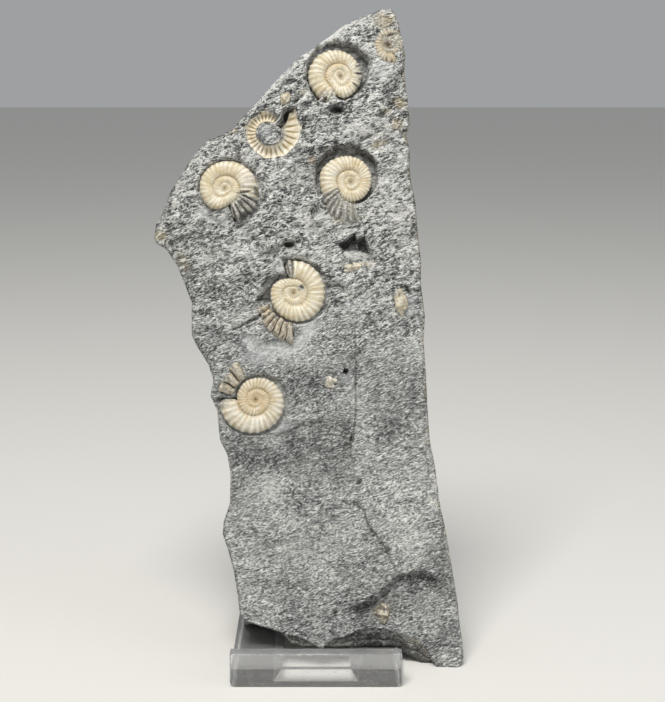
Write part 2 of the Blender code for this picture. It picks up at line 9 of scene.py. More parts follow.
import bpy
import numpy as np
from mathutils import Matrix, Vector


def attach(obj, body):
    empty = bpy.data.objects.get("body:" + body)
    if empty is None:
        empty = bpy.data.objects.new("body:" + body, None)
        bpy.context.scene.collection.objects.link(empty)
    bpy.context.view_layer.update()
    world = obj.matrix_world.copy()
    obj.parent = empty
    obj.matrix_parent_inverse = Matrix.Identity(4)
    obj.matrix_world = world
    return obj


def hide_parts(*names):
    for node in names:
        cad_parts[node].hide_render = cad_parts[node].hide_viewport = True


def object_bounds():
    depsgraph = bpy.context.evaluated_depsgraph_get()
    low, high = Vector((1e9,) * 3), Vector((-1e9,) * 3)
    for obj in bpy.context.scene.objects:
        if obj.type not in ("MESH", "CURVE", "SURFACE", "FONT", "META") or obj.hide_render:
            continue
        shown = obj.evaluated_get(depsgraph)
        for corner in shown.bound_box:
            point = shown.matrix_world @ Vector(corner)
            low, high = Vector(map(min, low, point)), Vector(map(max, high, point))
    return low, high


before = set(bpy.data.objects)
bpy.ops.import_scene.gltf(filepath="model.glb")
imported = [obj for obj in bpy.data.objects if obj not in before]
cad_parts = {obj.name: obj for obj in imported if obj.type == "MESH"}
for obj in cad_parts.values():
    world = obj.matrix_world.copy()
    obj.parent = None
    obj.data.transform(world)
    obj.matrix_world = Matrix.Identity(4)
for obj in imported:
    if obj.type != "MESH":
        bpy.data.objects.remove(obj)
cad_low, cad_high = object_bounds()


# The camera looks square at the leaning face, from the distance at which a photo pixel is
# 0.3 mm on the stone. Its long sensor side is the picture's height.
MM = 0.001
LEAN = math.radians(12.0)
SLAB_X = 7.2
SLAB_Y = -29.5
VIEW_DISTANCE = 430.0
VIEW_HEIGHT = 94.95
PICTURE_HEIGHT = 702
MM_PER_PIXEL = 0.3
SENSOR = 36.0


def to_world(u, depth, v):
    """World metres of a place in the stone's frame, which leans back by LEAN about its foot."""
    y = SLAB_Y + depth * math.cos(LEAN) + v * math.sin(LEAN)
    z = v * math.cos(LEAN) - depth * math.sin(LEAN)
    return np.stack(np.broadcast_arrays(SLAB_X + u, y, z), -1) * MM


camera_data = bpy.data.cameras.new("camera")
camera_data.lens = SENSOR * VIEW_DISTANCE / (PICTURE_HEIGHT * MM_PER_PIXEL)
camera_data.sensor_width = SENSOR
camera_data.clip_start = 0.01
camera = bpy.data.objects.new("camera", camera_data)
camera.location = to_world(0.0, -VIEW_DISTANCE, VIEW_HEIGHT).tolist()
camera.rotation_euler = (math.radians(90.0) - LEAN, 0.0, 0.0)
bpy.context.scene.collection.objects.link(camera)
bpy.context.scene.camera = camera


# The room is a wide pale floor under soft light. A broad panel overhead, a little in front,
# gives the short shadows under each ledge; a weak one at the side and the air fill them.
AIM = (0.0, 0.0, 0.1)
AIR_STRENGTH = 0.42
FLOOR_REACH = 4.0


def linear(code):
    """Linear red, green, blue and alpha of an sRGB hex colour."""
    parts = [int(code[i:i + 2], 16) / 255.0 for i in (1, 3, 5)]
    return [c / 12.92 if c <= 0.04045 else ((c + 0.055) / 1.055) ** 2.4 for c in parts] + [1.0]


def new_material(name):
    """An empty material, with its node tree and its Principled shader."""
    material = bpy.data.materials.new(name)
    material.use_nodes = True
    tree = material.node_tree
    return material, tree, tree.nodes["Principled BSDF"]


def area_light(name, place, size, watts, colour):
    """A square soft panel at a place in metres, turned to face the middle of the object."""
    data = bpy.data.lights.new(name, "AREA")
    data.size = size
    data.energy = watts
    data.color = linear(colour)[:3]
    light = bpy.data.objects.new(name, data)
    light.location = place
    way = np.array(AIM) - np.array(place)
    tip = math.acos(-way[2] / np.linalg.norm(way))
    light.rotation_euler = (tip, 0.0, math.atan2(-way[0], way[1]))
    bpy.context.scene.collection.objects.link(light)


area_light("overhead_panel", (-0.12, -0.42, 0.95), 0.42, 9.0, "#fffdf8")
area_light("side_panel", (0.75, -0.35, 0.35), 0.5, 1.1, "#f4f8ff")

world = bpy.data.worlds.new("soft_air")
world.use_nodes = True
world.node_tree.nodes["Background"].inputs["Color"].default_value = linear("#e9ecef")
world.node_tree.nodes["Background"].inputs["Strength"].default_value = AIR_STRENGTH
bpy.context.scene.world = world
bpy.context.scene.view_settings.view_transform = "Standard"

# The floor is matt pale paper, which shows soft shadows and little else
floor_mesh = bpy.data.meshes.new("floor")
corners = [(x, y, 0.0) for x, y in ((-1, -1), (1, -1), (1, 1), (-1, 1))]
floor_mesh.from_pydata((np.array(corners) * FLOOR_REACH).tolist(), [], [(0, 1, 2, 3)])
floor = bpy.data.objects.new("floor", floor_mesh)
bpy.context.scene.collection.objects.link(floor)
paper, tree, shader = new_material("pale_paper")
shader.inputs["Base Color"].default_value = linear("#e2e0db")
shader.inputs["Roughness"].default_value = 0.9
floor_mesh.materials.append(paper)


# The slab is one broken piece of blue-grey marl, a limy mudstone. Its face parted along the
# bedding, its sides were broken by hand, and the stone was scraped away around each shell.

# Thickness at heights up the face, and how much thinner the far left corner is
THICKNESS = [(0.0, 30.2), (80.0, 30.2), (130.0, 27.0), (198.0, 18.5)]
CORNER_LOSS = 6.0
FULL_DEPTH = 30.0
# The face's outline, in four sides
BOTTOM_EDGE = [
    (-27.8, 15.2), (-25.6, 13.6), (-23.6, 12.8), (-17.6, 11.0), (-14.9, 10.2), (-10.6, 9.3),
    (-7.4, 8.0), (-3.2, 5.7), (-1.4, 7.4), (0.4, 8.8), (3.8, 9.4), (6.8, 10.8), (12.4, 11.7),
    (16.4, 11.2), (19.6, 10.2), (22.4, 8.9), (25.6, 8.7), (27.6, 6.0), (29.6, 3.3), (31.2, 0.0),
    (37.6, 0.0), (39.4, 2.8),
]
LEFT_EDGE = [
    (-27.8, 15.2), (-28.6, 21.8), (-29.6, 28.6), (-31.6, 35.8), (-33.0, 40.0), (-32.6, 43.6),
    (-30.8, 49.4), (-30.6, 58.6), (-31.6, 63.8), (-33.8, 68.2), (-34.6, 77.0), (-36.6, 81.4),
    (-35.8, 86.2), (-37.4, 91.0), (-41.0, 96.8), (-42.3, 99.8), (-42.3, 109.6), (-44.6, 115.4),
    (-46.6, 120.4), (-50.0, 125.6), (-53.0, 127.4), (-53.8, 129.4),
]
TOP_EDGE = [
    (-53.8, 129.4), (-53.2, 133.0), (-51.2, 136.6), (-48.4, 143.8), (-43.6, 151.0),
    (-40.6, 155.2), (-37.4, 158.6), (-33.2, 160.0), (-29.8, 161.8), (-26.0, 166.6),
    (-18.8, 174.4), (-11.6, 182.0), (-2.0, 188.8), (2.8, 192.4), (7.6, 195.2), (12.4, 196.6),
    (15.2, 197.8), (17.6, 198.0),
]
RIGHT_EDGE = [
    (39.4, 2.8), (39.2, 6.8), (38.2, 14.2), (37.6, 20.8), (36.2, 28.6), (34.0, 41.2),
    (32.0, 50.2), (30.8, 60.4), (29.2, 68.2), (28.4, 80.2), (28.0, 89.2), (27.4, 98.2),
    (27.8, 105.4), (26.6, 114.8), (26.6, 121.6), (25.4, 132.8), (24.8, 140.2), (23.6, 145.6),
    (23.0, 150.4), (23.2, 155.2), (22.0, 160.0), (23.2, 163.6), (22.6, 170.2), (21.4, 178.6),
    (21.8, 183.4), (20.8, 188.8), (19.6, 194.2), (17.6, 198.0),
]
# Height above the table of the lowest bed in front, and of the underside at the back
UNDER_BED = [
    (-27.8, 13.6), (-17.6, 9.6), (-14.9, 8.4), (-12.8, 5.6), (-9.2, 4.8), (-3.2, 5.0),
    (0.8, 4.8), (20.6, 4.7), (21.4, 2.7), (24.9, 1.2), (27.3, 0.0), (37.6, 0.0), (39.4, 2.4),
]
UNDER_BACK = [
    (-27.8, 4.8), (-14.9, 4.7), (0.8, 5.4), (20.6, 4.8), (27.3, 3.6), (39.4, 7.0),
]
# Three thin beds that step down and back under the arch: depth, and share of the way down
BED_STEPS = [
    (0.0, 0.0), (1.0, 0.03), (1.05, 0.1), (1.2, 0.3), (1.9, 0.34), (1.95, 0.42), (2.1, 0.62),
    (2.8, 0.66), (2.85, 0.76), (3.0, 1.0),
]
# Depths of the partings between those beds, each painted as a dark line of shadow under the bed
# above it
SHADED_PARTINGS = [1.0, 1.9, 2.8]
# Flat breaks on the back: where each starts, its direction in degrees, its fall per mm
BACK_BREAKS = [
    ((-20.0, 110.0), 165, 0.13), ((10.0, 118.0), 15, 0.12), ((-18.0, 58.0), 185, 0.18),
    ((17.0, 50.0), -8, 0.15), ((0.0, 150.0), 80, 0.05),
]
# A thin bed is missing from the back above this height
BACK_LEDGE = 1.4
BACK_LEDGE_HEIGHT = 118.0
# Cells of the mesh across and up the face, and the depths of the rings around the sides
ACROSS = 170
UP = 340
RING_DEPTHS = [
    0.2, 0.6, 1.0, 1.05, 1.2, 1.9, 1.95, 2.1, 2.8, 2.85, 3.0, 3.8, 4.8, 6.4, 8.4, 10.6, 12.8,
    15.2, 17.8, 20.4, 23.0, 25.6, 28.0, 29.4,
]


def ease(x):
    """Rise from 0 to 1 as x does, level at both ends."""
    x = np.clip(x, 0.0, 1.0)
    return x * x * (3.0 - 2.0 * x)


def table(x, pairs):
    """Read a table of (place, value) pairs at x, straight between them."""
    return np.interp(x, [p[0] for p in pairs], [p[1] for p in pairs])


def along(points, share):
    """Places at shares of the length of a line of points, as an array whose last axis is (u, v)."""
    line = np.array(points)
    reach = np.concatenate([[0.0], np.cumsum(np.hypot(*np.diff(line, axis=0).T))])
    return np.stack([np.interp(share * reach[-1], reach, line[:, i]) for i in (0, 1)], -1)


def face_place(s, t):
    """The face at s across and t up: the two pairs of opposite edges blended, less the corners."""
    low, high = along(BOTTOM_EDGE, s), along(TOP_EDGE, s)
    left, right = along(LEFT_EDGE, t), along(RIGHT_EDGE, t)
    s, t = s[..., None], t[..., None]
    corners = (
        (1 - s) * (1 - t) * np.array(BOTTOM_EDGE[0]) + s * (1 - t) * np.array(BOTTOM_EDGE[-1])
        + (1 - s) * t * np.array(TOP_EDGE[0]) + s * t * np.array(TOP_EDGE[-1])
    )
    return (1 - t) * low + t * high + (1 - s) * left + s * right - corners


def noise(points, size, seed):
    """Gradient noise of about -1 to 1: at each corner of a lattice cell a random slope, blended.

    points has (u, depth, v) on its last axis and size is the cell's size along each.
    """
    rng = np.random.default_rng(seed)
    slopes = rng.normal(size=(512, 3))
    slopes /= np.linalg.norm(slopes, axis=1)[:, None]
    order = rng.permutation(512)
    place = points / np.array(size)
    cell = np.floor(place).astype(int)
    inside = place - cell
    blend = inside ** 3 * (inside * (inside * 6 - 15) + 10)
    total = np.zeros(points.shape[:-1])
    for corner in np.ndindex(2, 2, 2):
        a, b, c = (cell + corner).astype(int).reshape(-1, 3).T % 512
        slope = slopes[order[(order[(order[a] + b) % 512] + c) % 512]]
        rise = (slope.reshape(points.shape) * (inside - corner)).sum(-1)
        total += rise * np.where(corner, blend, 1 - blend).prod(-1)
    return total * 1.7


def flakes(value, steps):
    """Turn smooth noise into small treads with short risers, as split mudstone has."""
    scaled = value * steps
    tread = np.floor(scaled)
    return (tread + ease((scaled - tread - 0.35) / 0.3)) / steps


def grain_frame(points, turn):
    """Turn (u, depth, v) so that the first axis lies along the grain, turn degrees above level."""
    c, s = math.cos(math.radians(turn)), math.sin(math.radians(turn))
    u, depth, v = np.moveaxis(points, -1, 0)
    return np.stack([u * c + v * s, depth, v * c - u * s], -1)


def thickness(u, v):
    """Depth of the stone behind (u, v): its full thickness less the corner, breaks and ledge.

    The breaks are flat slopes, the deepest at each place, and the swell is a product of sines.
    """
    full = table(v, THICKNESS) - CORNER_LOSS * ease((-u - 34.0) / 20.0)
    fall = 0.0 * u
    for start, direction, slope in BACK_BREAKS:
        way = math.radians(direction)
        beyond = (u - start[0]) * math.cos(way) + (v - start[1]) * math.sin(way)
        fall = np.maximum(fall, slope * beyond)
    swell = np.minimum(1.1 * np.sin(u / 12.0 + 0.5) * np.sin(v / 21.0 + 2.2), 0.8)
    ledge_line = BACK_LEDGE_HEIGHT + 0.35 * u + 3.0 * np.sin(u / 6.0)
    ledge = BACK_LEDGE * ease((v - ledge_line) / 1.2)
    return full - fall - ledge + swell


def under_height(u, depth):
    """Height above the table of the underside: bedding steps down from the arch, then level."""
    front = table(u, BOTTOM_EDGE) * math.cos(LEAN)
    level = front + (table(u, UNDER_BED) - front) * table(depth, BED_STEPS)
    return level + (table(u, UNDER_BACK) - level) * ease((depth - 6.5) / 14.0)


def block_place(s, t, share, relief):
    """A place of the block: (s, t) on the face, and a share of the depth behind it.

    Near the foot it moves to the underside's height, as the seventh power of 1 - t.
    """
    face = face_place(s, t)
    u, v = face[..., 0], face[..., 1]
    depth = share * (thickness(u, v) + relief) - relief
    low_v = (under_height(u, np.maximum(depth, 0.0)) + depth * math.sin(LEAN)) / math.cos(LEAN)
    foot = along(BOTTOM_EDGE, s)[..., 1]
    v = v + (low_v - foot) * (1.0 - t) ** 7
    return np.stack([u, depth, v], -1)


# Each shell's spiral as measured: centre on the face, way of coiling, direction of its mouth,
# growth a turn, and rim radii at every 45 degrees back from the mouth. The stone was worked
# away beside each rim: a moat as wide as given at every 45 degrees from the right, going up,
# and right at the rim a narrow trench, as strong as given at the same places.
SHELLS = {
    "ammonite_top": dict(
        centre=(2.5, 177.6), turn=1, mouth=228, growth=2.05,
        rim=[9.45, 9.75, 9.05, 7.6, 6.5, 6.25, 6.2, 6.5],
        moat=[2.6, 3.2, 2.9, 2.4, 0.7, 0.8, 0.9, 1.3], moat_depth=2.8,
        trench=[0.9, 0.6, 0.4, 0.2, 0.1, 0.4, 0.6, 1.0],
    ),
    "ammonite_left": dict(
        centre=(-32.4, 143.9), turn=-1, mouth=285, growth=2.2,
        rim=[11.2, 10.8, 9.7, 8.6, 7.9, 7.65, 7.4, 7.1],
        moat=[1.3, 1.1, 0.8, 0.7, 0.7, 1.8, 2.8, 1.6], moat_depth=1.7,
        trench=[0.4, 0.2, 0.25, 0.35, 0.6, 1.0, 1.0, 0.8],
    ),
    "ammonite_right": dict(
        centre=(5.5, 145.8), turn=1, mouth=205, growth=2.2,
        rim=[9.3, 9.4, 8.1, 7.2, 6.45, 6.0, 6.0, 5.65],
        moat=[2.2, 3.2, 3.8, 3.2, 1.6, 1.8, 0.7, 1.1], moat_depth=3.0,
        trench=[0.4, 0.5, 0.9, 0.8, 0.9, 1.0, 0.2, 0.3],
    ),
    "ammonite_centre": dict(
        centre=(-11.8, 112.4), turn=1, mouth=108, growth=2.2,
        rim=[9.9, 9.7, 9.5, 9.4, 8.8, 7.75, 6.95, 6.3],
        moat=[2.4, 1.4, 0.9, 2.6, 3.0, 2.0, 0.8, 1.6], moat_depth=1.9,
        trench=[0.9, 0.8, 0.3, 0.9, 0.9, 0.7, 0.5, 1.0],
    ),
    "ammonite_low_left": dict(
        centre=(-23.0, 80.5), turn=-1, mouth=178, growth=2.0,
        rim=[11.2, 11.0, 10.2, 9.2, 8.4, 7.15, 6.35, 6.0],
        moat=[1.2, 2.0, 1.2, 1.0, 0.9, 1.1, 1.2, 2.0], moat_depth=1.6,
        trench=[0.9, 1.0, 1.0, 0.6, 0.4, 0.9, 1.0, 0.9],
    ),
    "ammonite_corner": dict(
        centre=(16.9, 186.9), turn=1, mouth=300, growth=2.0,
        rim=[5.7, 5.0, 4.5, 4.5, 5.0, 4.9, 4.3, 4.0],
        moat=[0.5, 0.6, 0.8, 0.6, 0.5, 0.5, 0.6, 0.5], moat_depth=0.5,
        trench=[0.1, 0.2, 0.3, 0.2, 0.2, 0.3, 0.4, 0.2],
    ),
}
MOULD = dict(
    centre=(-19.7, 160.7), turn=1, mouth=40, growth=1.8,
    rim=[10.9, 10.4, 9.0, 7.9, 7.0, 6.85, 6.55, 6.4],
    core=[3.3, 4.8, 4.5, 3.85, 3.45, 3.2, 3.15, 3.15],
)
# How deep the coils' rims lie, and how deep the stone is hollowed at the rim and under a coil
RIM_DEPTH = 1.4
TRENCH_DEPTH = 1.75
SEAT_DEPTH = 4.0
CORNER_RIM_DEPTH = 0.8
CORNER_SEAT_DEPTH = 2.3
# The mould's trough: its depth, and the degrees it runs round its core
MOULD_SEAT_DEPTH = 3.0
MOULD_SPAN = 350.0


def rim_radius(back, rim, growth):
    """Rim radius at degrees back from the mouth: a smooth curve through the logarithms of the
    eight radii, each turn smaller than the next by the growth."""
    place = np.asarray(back) / 45.0
    first = np.floor(place).astype(int)
    f = place - first
    logs = np.log(rim)
    p0, p1, p2, p3 = (
        logs[(first + k) % 8] - (first + k) // 8 * math.log(growth) for k in (-1, 0, 1, 2)
    )
    bend = 2 * p0 - 5 * p1 + 4 * p2 - p3
    turn = 3 * (p1 - p2) + p3 - p0
    return np.exp(0.5 * (2 * p1 + (p2 - p0) * f + bend * f * f + turn * f ** 3))


def around(shell, u, v):
    """Distance from a shell's centre, direction in degrees, and degrees back from its mouth."""
    du, dv = u - shell["centre"][0], v - shell["centre"][1]
    direction = np.degrees(np.arctan2(dv, du)) % 360.0
    return np.hypot(du, dv), direction, (shell["turn"] * (shell["mouth"] - direction)) % 360.0


def shell_hollow(shell, u, v, wander):
    """Depth of the stone worked away for a shell, a moat, a trench at its rim and its seat, and how
    far each place is part of the moat's far wall above the shell, which lies in shade and gets
    painted shade."""
    distance, direction, back = around(shell, u, v)
    beyond = distance - rim_radius(back, shell["rim"], shell["growth"])
    reach = np.interp(direction, np.arange(9) * 45.0, shell["moat"] + shell["moat"][:1])
    reach = reach * (1.0 + 0.3 * wander)
    moat = shell["moat_depth"] * (1.0 - ease((beyond - 0.6 * reach) / (0.4 * reach)))
    strength = np.interp(direction, np.arange(9) * 45.0, shell["trench"] + shell["trench"][:1])
    past_trench = ease((beyond - 0.25 * strength + 0.35 * wander) / 0.6)
    trench = TRENCH_DEPTH * strength * (1.0 - past_trench)
    seat = CORNER_SEAT_DEPTH if shell is SHELLS["ammonite_corner"] else SEAT_DEPTH
    seat = seat * (1.0 - ease((beyond + 1.3) / 0.9))
    # Painted shade: the upper far wall of a deep moat, darkened in colour as if in shadow
    wall = np.exp(-((beyond / reach - 0.85) / 0.24) ** 2) * ease((reach - 1.6) / 1.2)
    wall = wall * ease((np.sin(np.radians(direction)) - 0.15) / 0.5)
    return np.maximum(np.maximum(moat, trench), seat), wall


def mould_hollow(u, v):
    """Depth of the trough that the shell-lined mould lies in, around its core of stone."""
    distance, _, back = around(MOULD, u, v)
    rim = rim_radius(back, MOULD["rim"], MOULD["growth"])
    core = rim_radius(back, MOULD["core"], 1.0)
    inside = ease((rim - 0.3 - distance) / 0.6) * ease((distance - core + 0.1) / 0.5)
    ring = 0.7 * np.exp(-((distance - core + 1.0) / 0.4) ** 2)
    return np.maximum(MOULD_SEAT_DEPTH * inside, ring) * (back < MOULD_SPAN)


def oval(u, v, centre, half, turn):
    """Distance from an oval's centre as a share of its half sizes: 1 on its edge."""
    c, s = math.cos(math.radians(turn)), math.sin(math.radians(turn))
    du, dv = u - centre[0], v - centre[1]
    return np.hypot((du * c + dv * s) / half[0], (dv * c - du * s) / half[1])


def inside_corners(u, v, corners):
    """Distance in from the edges of a convex patch whose corners go round anticlockwise."""
    reach = np.full(u.shape, np.inf)
    for (u0, v0), (u1, v1) in zip(corners, corners[1:] + corners[:1]):
        side = ((u1 - u0) * (v - v0) - (v1 - v0) * (u - u0)) / math.hypot(u1 - u0, v1 - v0)
        reach = np.minimum(reach, side)
    return reach


def beside_line(u, v, points):
    """Signed distance from a line of points, positive on its left, and the share of its length."""
    nearest = np.full(u.shape, np.inf)
    sign = np.ones(u.shape)
    share = np.zeros(u.shape)
    for k, ((u0, v0), (u1, v1)) in enumerate(zip(points, points[1:])):
        du, dv = u1 - u0, v1 - v0
        t = np.clip(((u - u0) * du + (v - v0) * dv) / (du * du + dv * dv), 0.0, 1.0)
        distance = np.hypot(u - u0 - t * du, v - v0 - t * dv)
        closer = distance < nearest
        nearest = np.where(closer, distance, nearest)
        sign = np.where(closer, np.sign(du * (v - v0) - dv * (u - u0)), sign)
        share = np.where(closer, (k + t) / (len(points) - 1), share)
    return nearest * sign, share


# Cornered cavities: corners, depth
CAVITIES = [
    ([(1.5, 127.0), (3.5, 124.9), (7.5, 125.0), (7.5, 128.3), (6.8, 130.3)], 3.2),
    ([(7.1, 128.2), (7.4, 125.0), (11.5, 123.8), (9.7, 129.7)], 3.2),
    ([(-15.1, 165.3), (-13.4, 162.0), (-11.0, 164.8), (-10.4, 166.9), (-11.5, 168.3),
      (-14.8, 166.8)], 3.4),
    ([(-24.4, 109.8), (-18.2, 109.6), (-16.9, 112.4), (-15.3, 118.9), (-18.6, 115.2)], 1.9),
    ([(3.0, 88.6), (4.1, 87.7), (5.0, 89.3), (3.6, 89.9)], 2.6),
]
# Dents: centre, half sizes, turn in degrees, depth, and how dark they are inside
DENTS = [
    ((1.1, 167.7), (2.9, 1.5), -5, 3.2, 1.0),
    ((-1.9, 170.2), (1.1, 0.9), 30, 1.8, 1.0),
    ((-10.8, 170.2), (1.3, 0.8), 35, 1.6, 0.9),
    ((-7.1, 164.3), (1.3, 0.7), 5, 0.9, 0.5),
    ((-0.2, 161.0), (1.1, 0.5), -10, 0.6, 0.4),
    ((-20.3, 146.3), (1.1, 0.9), 0, 0.9, 0.5),
    ((-21.2, 140.2), (1.1, 0.9), 0, 0.9, 0.7),
    ((-6.0, 136.2), (0.8, 3.3), -4, 1.1, 0.75),
    ((-4.6, 137.6), (0.7, 2.3), -12, 1.0, 0.7),
    ((-11.4, 132.3), (1.8, 1.1), 10, 0.9, 0.55),
    ((-13.4, 127.1), (2.2, 1.2), -5, 2.4, 1.0),
    ((-10.2, 127.9), (1.1, 0.6), -20, 1.0, 0.7),
    ((-18.5, 124.6), (4.0, 1.5), 28, 0.8, 0.3),
    ((-25.6, 115.6), (1.3, 1.0), 20, 0.8, 0.6),
    ((-32.2, 113.2), (0.9, 0.6), -30, 0.6, 0.5),
    ((0.8, 114.2), (4.2, 1.9), -12, 1.1, 0.3),
    ((12.8, 122.6), (0.6, 0.6), 0, 0.9, 0.9),
    ((13.0, 117.8), (0.6, 1.0), 0, 0.9, 0.8),
    ((11.8, 114.8), (0.6, 0.7), 0, 0.7, 0.6),
    ((5.6, 68.6), (0.8, 1.5), -8, 1.6, 1.0),
    ((5.0, 66.2), (1.1, 1.5), -5, 0.8, 0.5),
    ((8.1, 55.8), (0.8, 1.1), -15, 1.0, 0.8),
    ((16.6, 34.5), (1.1, 0.8), 30, 1.0, 0.8),
    ((-6.4, 73.4), (1.7, 0.8), -15, 0.7, 0.5),
    ((-49.0, 132.4), (1.7, 0.9), 35, 0.9, 0.7),
    ((-39.5, 130.4), (2.8, 0.9), 25, 0.7, 0.45),
    ((14.6, 166.5), (2.2, 0.8), 35, 0.8, 0.45),
    ((9.4, 158.8), (2.6, 0.8), 15, 0.8, 0.5),
    ((17.4, 173.4), (2.4, 0.8), 25, 0.7, 0.4),
    ((-8.2, 176.4), (2.2, 0.7), 40, 0.6, 0.35),
]
# Cracks: line of points, half width, depth, and how dark they are
CRACKS = [
    ([(-36.7, 130.3), (-35.0, 128.8)], 0.3, 0.5, 1.0),
    ([(7.05, 92.6), (6.9, 84.0), (7.05, 76.9), (6.2, 70.1), (5.4, 68.4)], 0.4, 0.5, 0.45),
    ([(6.2, 92.6), (10.0, 96.8)], 0.4, 0.6, 0.6),
    ([(6.3, 50.0), (9.6, 46.9), (10.4, 43.5), (12.0, 40.6), (16.1, 35.0)], 0.4, 0.6, 0.6),
    ([(10.4, 32.4), (13.5, 33.6), (16.1, 34.1)], 0.35, 0.5, 0.6),
    ([(19.2, 27.8), (17.8, 31.0), (16.6, 34.0)], 0.35, 0.4, 0.4),
    ([(21.2, 161.2), (23.4, 160.9)], 0.4, 0.9, 1.0),
    ([(24.8, 117.0), (27.2, 116.7)], 0.4, 0.8, 0.9),
    ([(22.1, 114.0), (23.2, 112.2)], 0.5, 1.0, 0.9),
    ([(-29.5, 101.5), (-26.0, 103.2), (-22.6, 104.9), (-20.6, 107.2)], 0.5, 0.8, 0.7),
    ([(-9.4, 141.6), (-6.0, 144.0), (-4.2, 146.4)], 0.45, 0.8, 0.6),
    ([(-12.6, 143.4), (-9.6, 144.4), (-6.4, 143.8)], 0.4, 0.6, 0.6),
    ([(4.4, 22.5), (5.2, 24.7)], 0.35, 0.4, 0.4),
    ([(14.5, 62.0), (21.0, 62.0)], 0.35, 0.3, 0.3),
    ([(-16.9, 69.4), (-12.2, 71.4), (-8.0, 73.2)], 0.4, 0.5, 0.5),
]
# Steps: line of points, how far the ground on its left drops, and how soon it comes back
STEPS = [
    ([(19.7, 28.2), (16.3, 34.3), (12.8, 39.8), (8.8, 47.0), (8.0, 56.0), (5.4, 68.0),
      (7.0, 91.0)], 0.55, 14.0),
    ([(34.5, 26.8), (28.0, 27.0), (22.5, 28.5), (19.7, 28.1), (16.2, 25.2), (14.2, 22.6),
      (9.0, 19.8), (3.0, 18.2)], 2.6, 7.0),
    ([(-27.0, 137.8), (-33.2, 133.9), (-38.3, 129.8), (-42.8, 127.6), (-50.3, 127.7)], 0.9, 7.0),
    ([(-3.5, 74.4), (-8.0, 73.6), (-12.0, 71.6), (-17.0, 69.0)], 0.7, 5.0),
    ([(-14.0, 98.6), (-19.5, 98.8), (-24.0, 95.6)], 0.6, 3.0),
    ([(24.0, 176.0), (18.0, 174.0), (12.0, 170.8)], 0.8, 4.0),
    ([(23.0, 152.6), (15.0, 154.8), (8.0, 152.6)], 0.5, 4.0),
]
# The impression of a ribbed shell on the left edge: its oval, and the spacing of its ribs
IMPRESSION = dict(centre=(-45.6, 121.4), half=(3.4, 6.0), turn=28, spacing=1.75, height=0.36)
# Patches where the tool left the stone smooth: centre, half sizes, turn, amount
SMOOTH_PATCHES = [
    ((-6.5, 103.2), (5.0, 1.7), 15, 1.0), ((-16.0, 96.4), (4.6, 1.8), 5, 1.0),
    ((-22.3, 92.8), (5.6, 2.4), -5, 1.0), ((-13.6, 92.6), (4.0, 1.3), -8, 0.8),
    ((-14.8, 72.4), (4.8, 2.4), 25, 0.9), ((-15.7, 120.6), (3.6, 2.2), 20, 0.7),
    ((15.0, 178.9), (3.4, 1.7), 5, 0.7), ((6.0, 109.0), (4.5, 1.8), 10, 0.5),
    ((23.6, 109.5), (1.8, 4.4), 0, 0.9), ((4.2, 86.4), (3.0, 1.5), -15, 0.9),
    ((-25.5, 131.0), (4.4, 2.0), 15, 0.6), ((6.5, 82.8), (2.4, 1.5), 20, 0.7),
    ((-27.5, 124.0), (8.0, 6.0), 10, 0.35), ((-31.0, 96.0), (2.2, 1.6), 30, 0.6),
    ((-19.7, 160.7), (3.2, 3.2), 0, 0.7), ((16.4, 181.0), (4.2, 1.6), -6, 0.5),
]
# Bands scraped smooth round a shell: line of points, half width, depth
SCRAPED_BANDS = [
    ([(-28.6, 101.6), (-25.2, 98.1), (-20.6, 95.7), (-15.3, 95.4), (-10.7, 96.6), (-6.8, 101.0),
      (-2.6, 105.8)], 1.7, 0.6),
    ([(-41.0, 138.0), (-36.6, 134.4), (-31.0, 133.6)], 0.9, 0.4),
]
# Patches of pale brown crust, given the same way
CRUST_PATCHES = [
    ((15.6, 194.0), (3.4, 2.6), -20, 0.9), ((20.3, 169.3), (2.2, 1.9), 0, 0.9),
    ((19.2, 162.9), (1.8, 2.2), 20, 0.8), ((14.3, 157.2), (3.0, 1.0), 20, 0.8),
    ((16.2, 167.1), (1.6, 0.9), 0, 0.7), ((-51.8, 129.6), (2.0, 1.8), 0, 0.9),
    ((-45.0, 122.0), (1.8, 4.0), 30, 0.5), ((-29.8, 161.2), (1.6, 1.2), 0, 0.6),
    ((1.9, 134.6), (2.3, 0.9), -8, 1.0), ((-6.2, 151.9), (1.2, 0.9), 15, 1.0),
    ((15.2, 17.2), (2.8, 3.6), 0, 0.75), ((-8.9, 172.6), (1.4, 1.0), 0, 0.5),
]
# Patches lighter or darker than the rest, given the same way. The dark ones at (27.5, 24) and (6,
# 19), under the scarp near the foot, are partly painted shade of the hollow below it
TONE_PATCHES = [
    ((23.0, 47.0), (11.0, 19.0), -8, 0.9), ((27.5, 24.0), (8.0, 2.6), 0, -1.1),
    ((6.0, 19.0), (9.0, 3.2), 8, -0.7), ((-1.0, 71.0), (9.0, 5.0), 10, -0.9),
    ((-15.0, 64.5), (19.0, 8.0), 0, -1.0), ((-31.0, 99.0), (6.0, 3.4), 15, -0.6),
    ((18.0, 78.0), (9.0, 11.0), 0, -0.95), ((-12.0, 34.0), (16.0, 9.0), 12, 0.2),
    ((4.0, 19.0), (16.0, 6.0), 10, -0.25), ((19.0, 124.0), (7.0, 14.0), 0, 0.45),
    ((8.0, 142.0), (12.0, 7.0), 20, 0.25), ((-6.0, 93.0), (13.0, 6.0), 0, 0.3),
    ((-40.0, 132.5), (8.0, 2.6), 22, -0.5), ((-30.0, 124.0), (12.0, 7.0), 8, 0.5),
    ((-34.0, 154.0), (9.0, 5.0), 30, 0.2), ((-19.7, 160.7), (3.6, 3.6), 0, -0.7),
]
# The face is rough above a height, and a joint left it smoother below another. Its grain rises
# to the right by so many degrees, less so on the joint.
ROUGH_ABOVE = 88.0
JOINT_BELOW = 78.0
GRAIN_TILT = 24.0
JOINT_GRAIN_TILT = 12.0
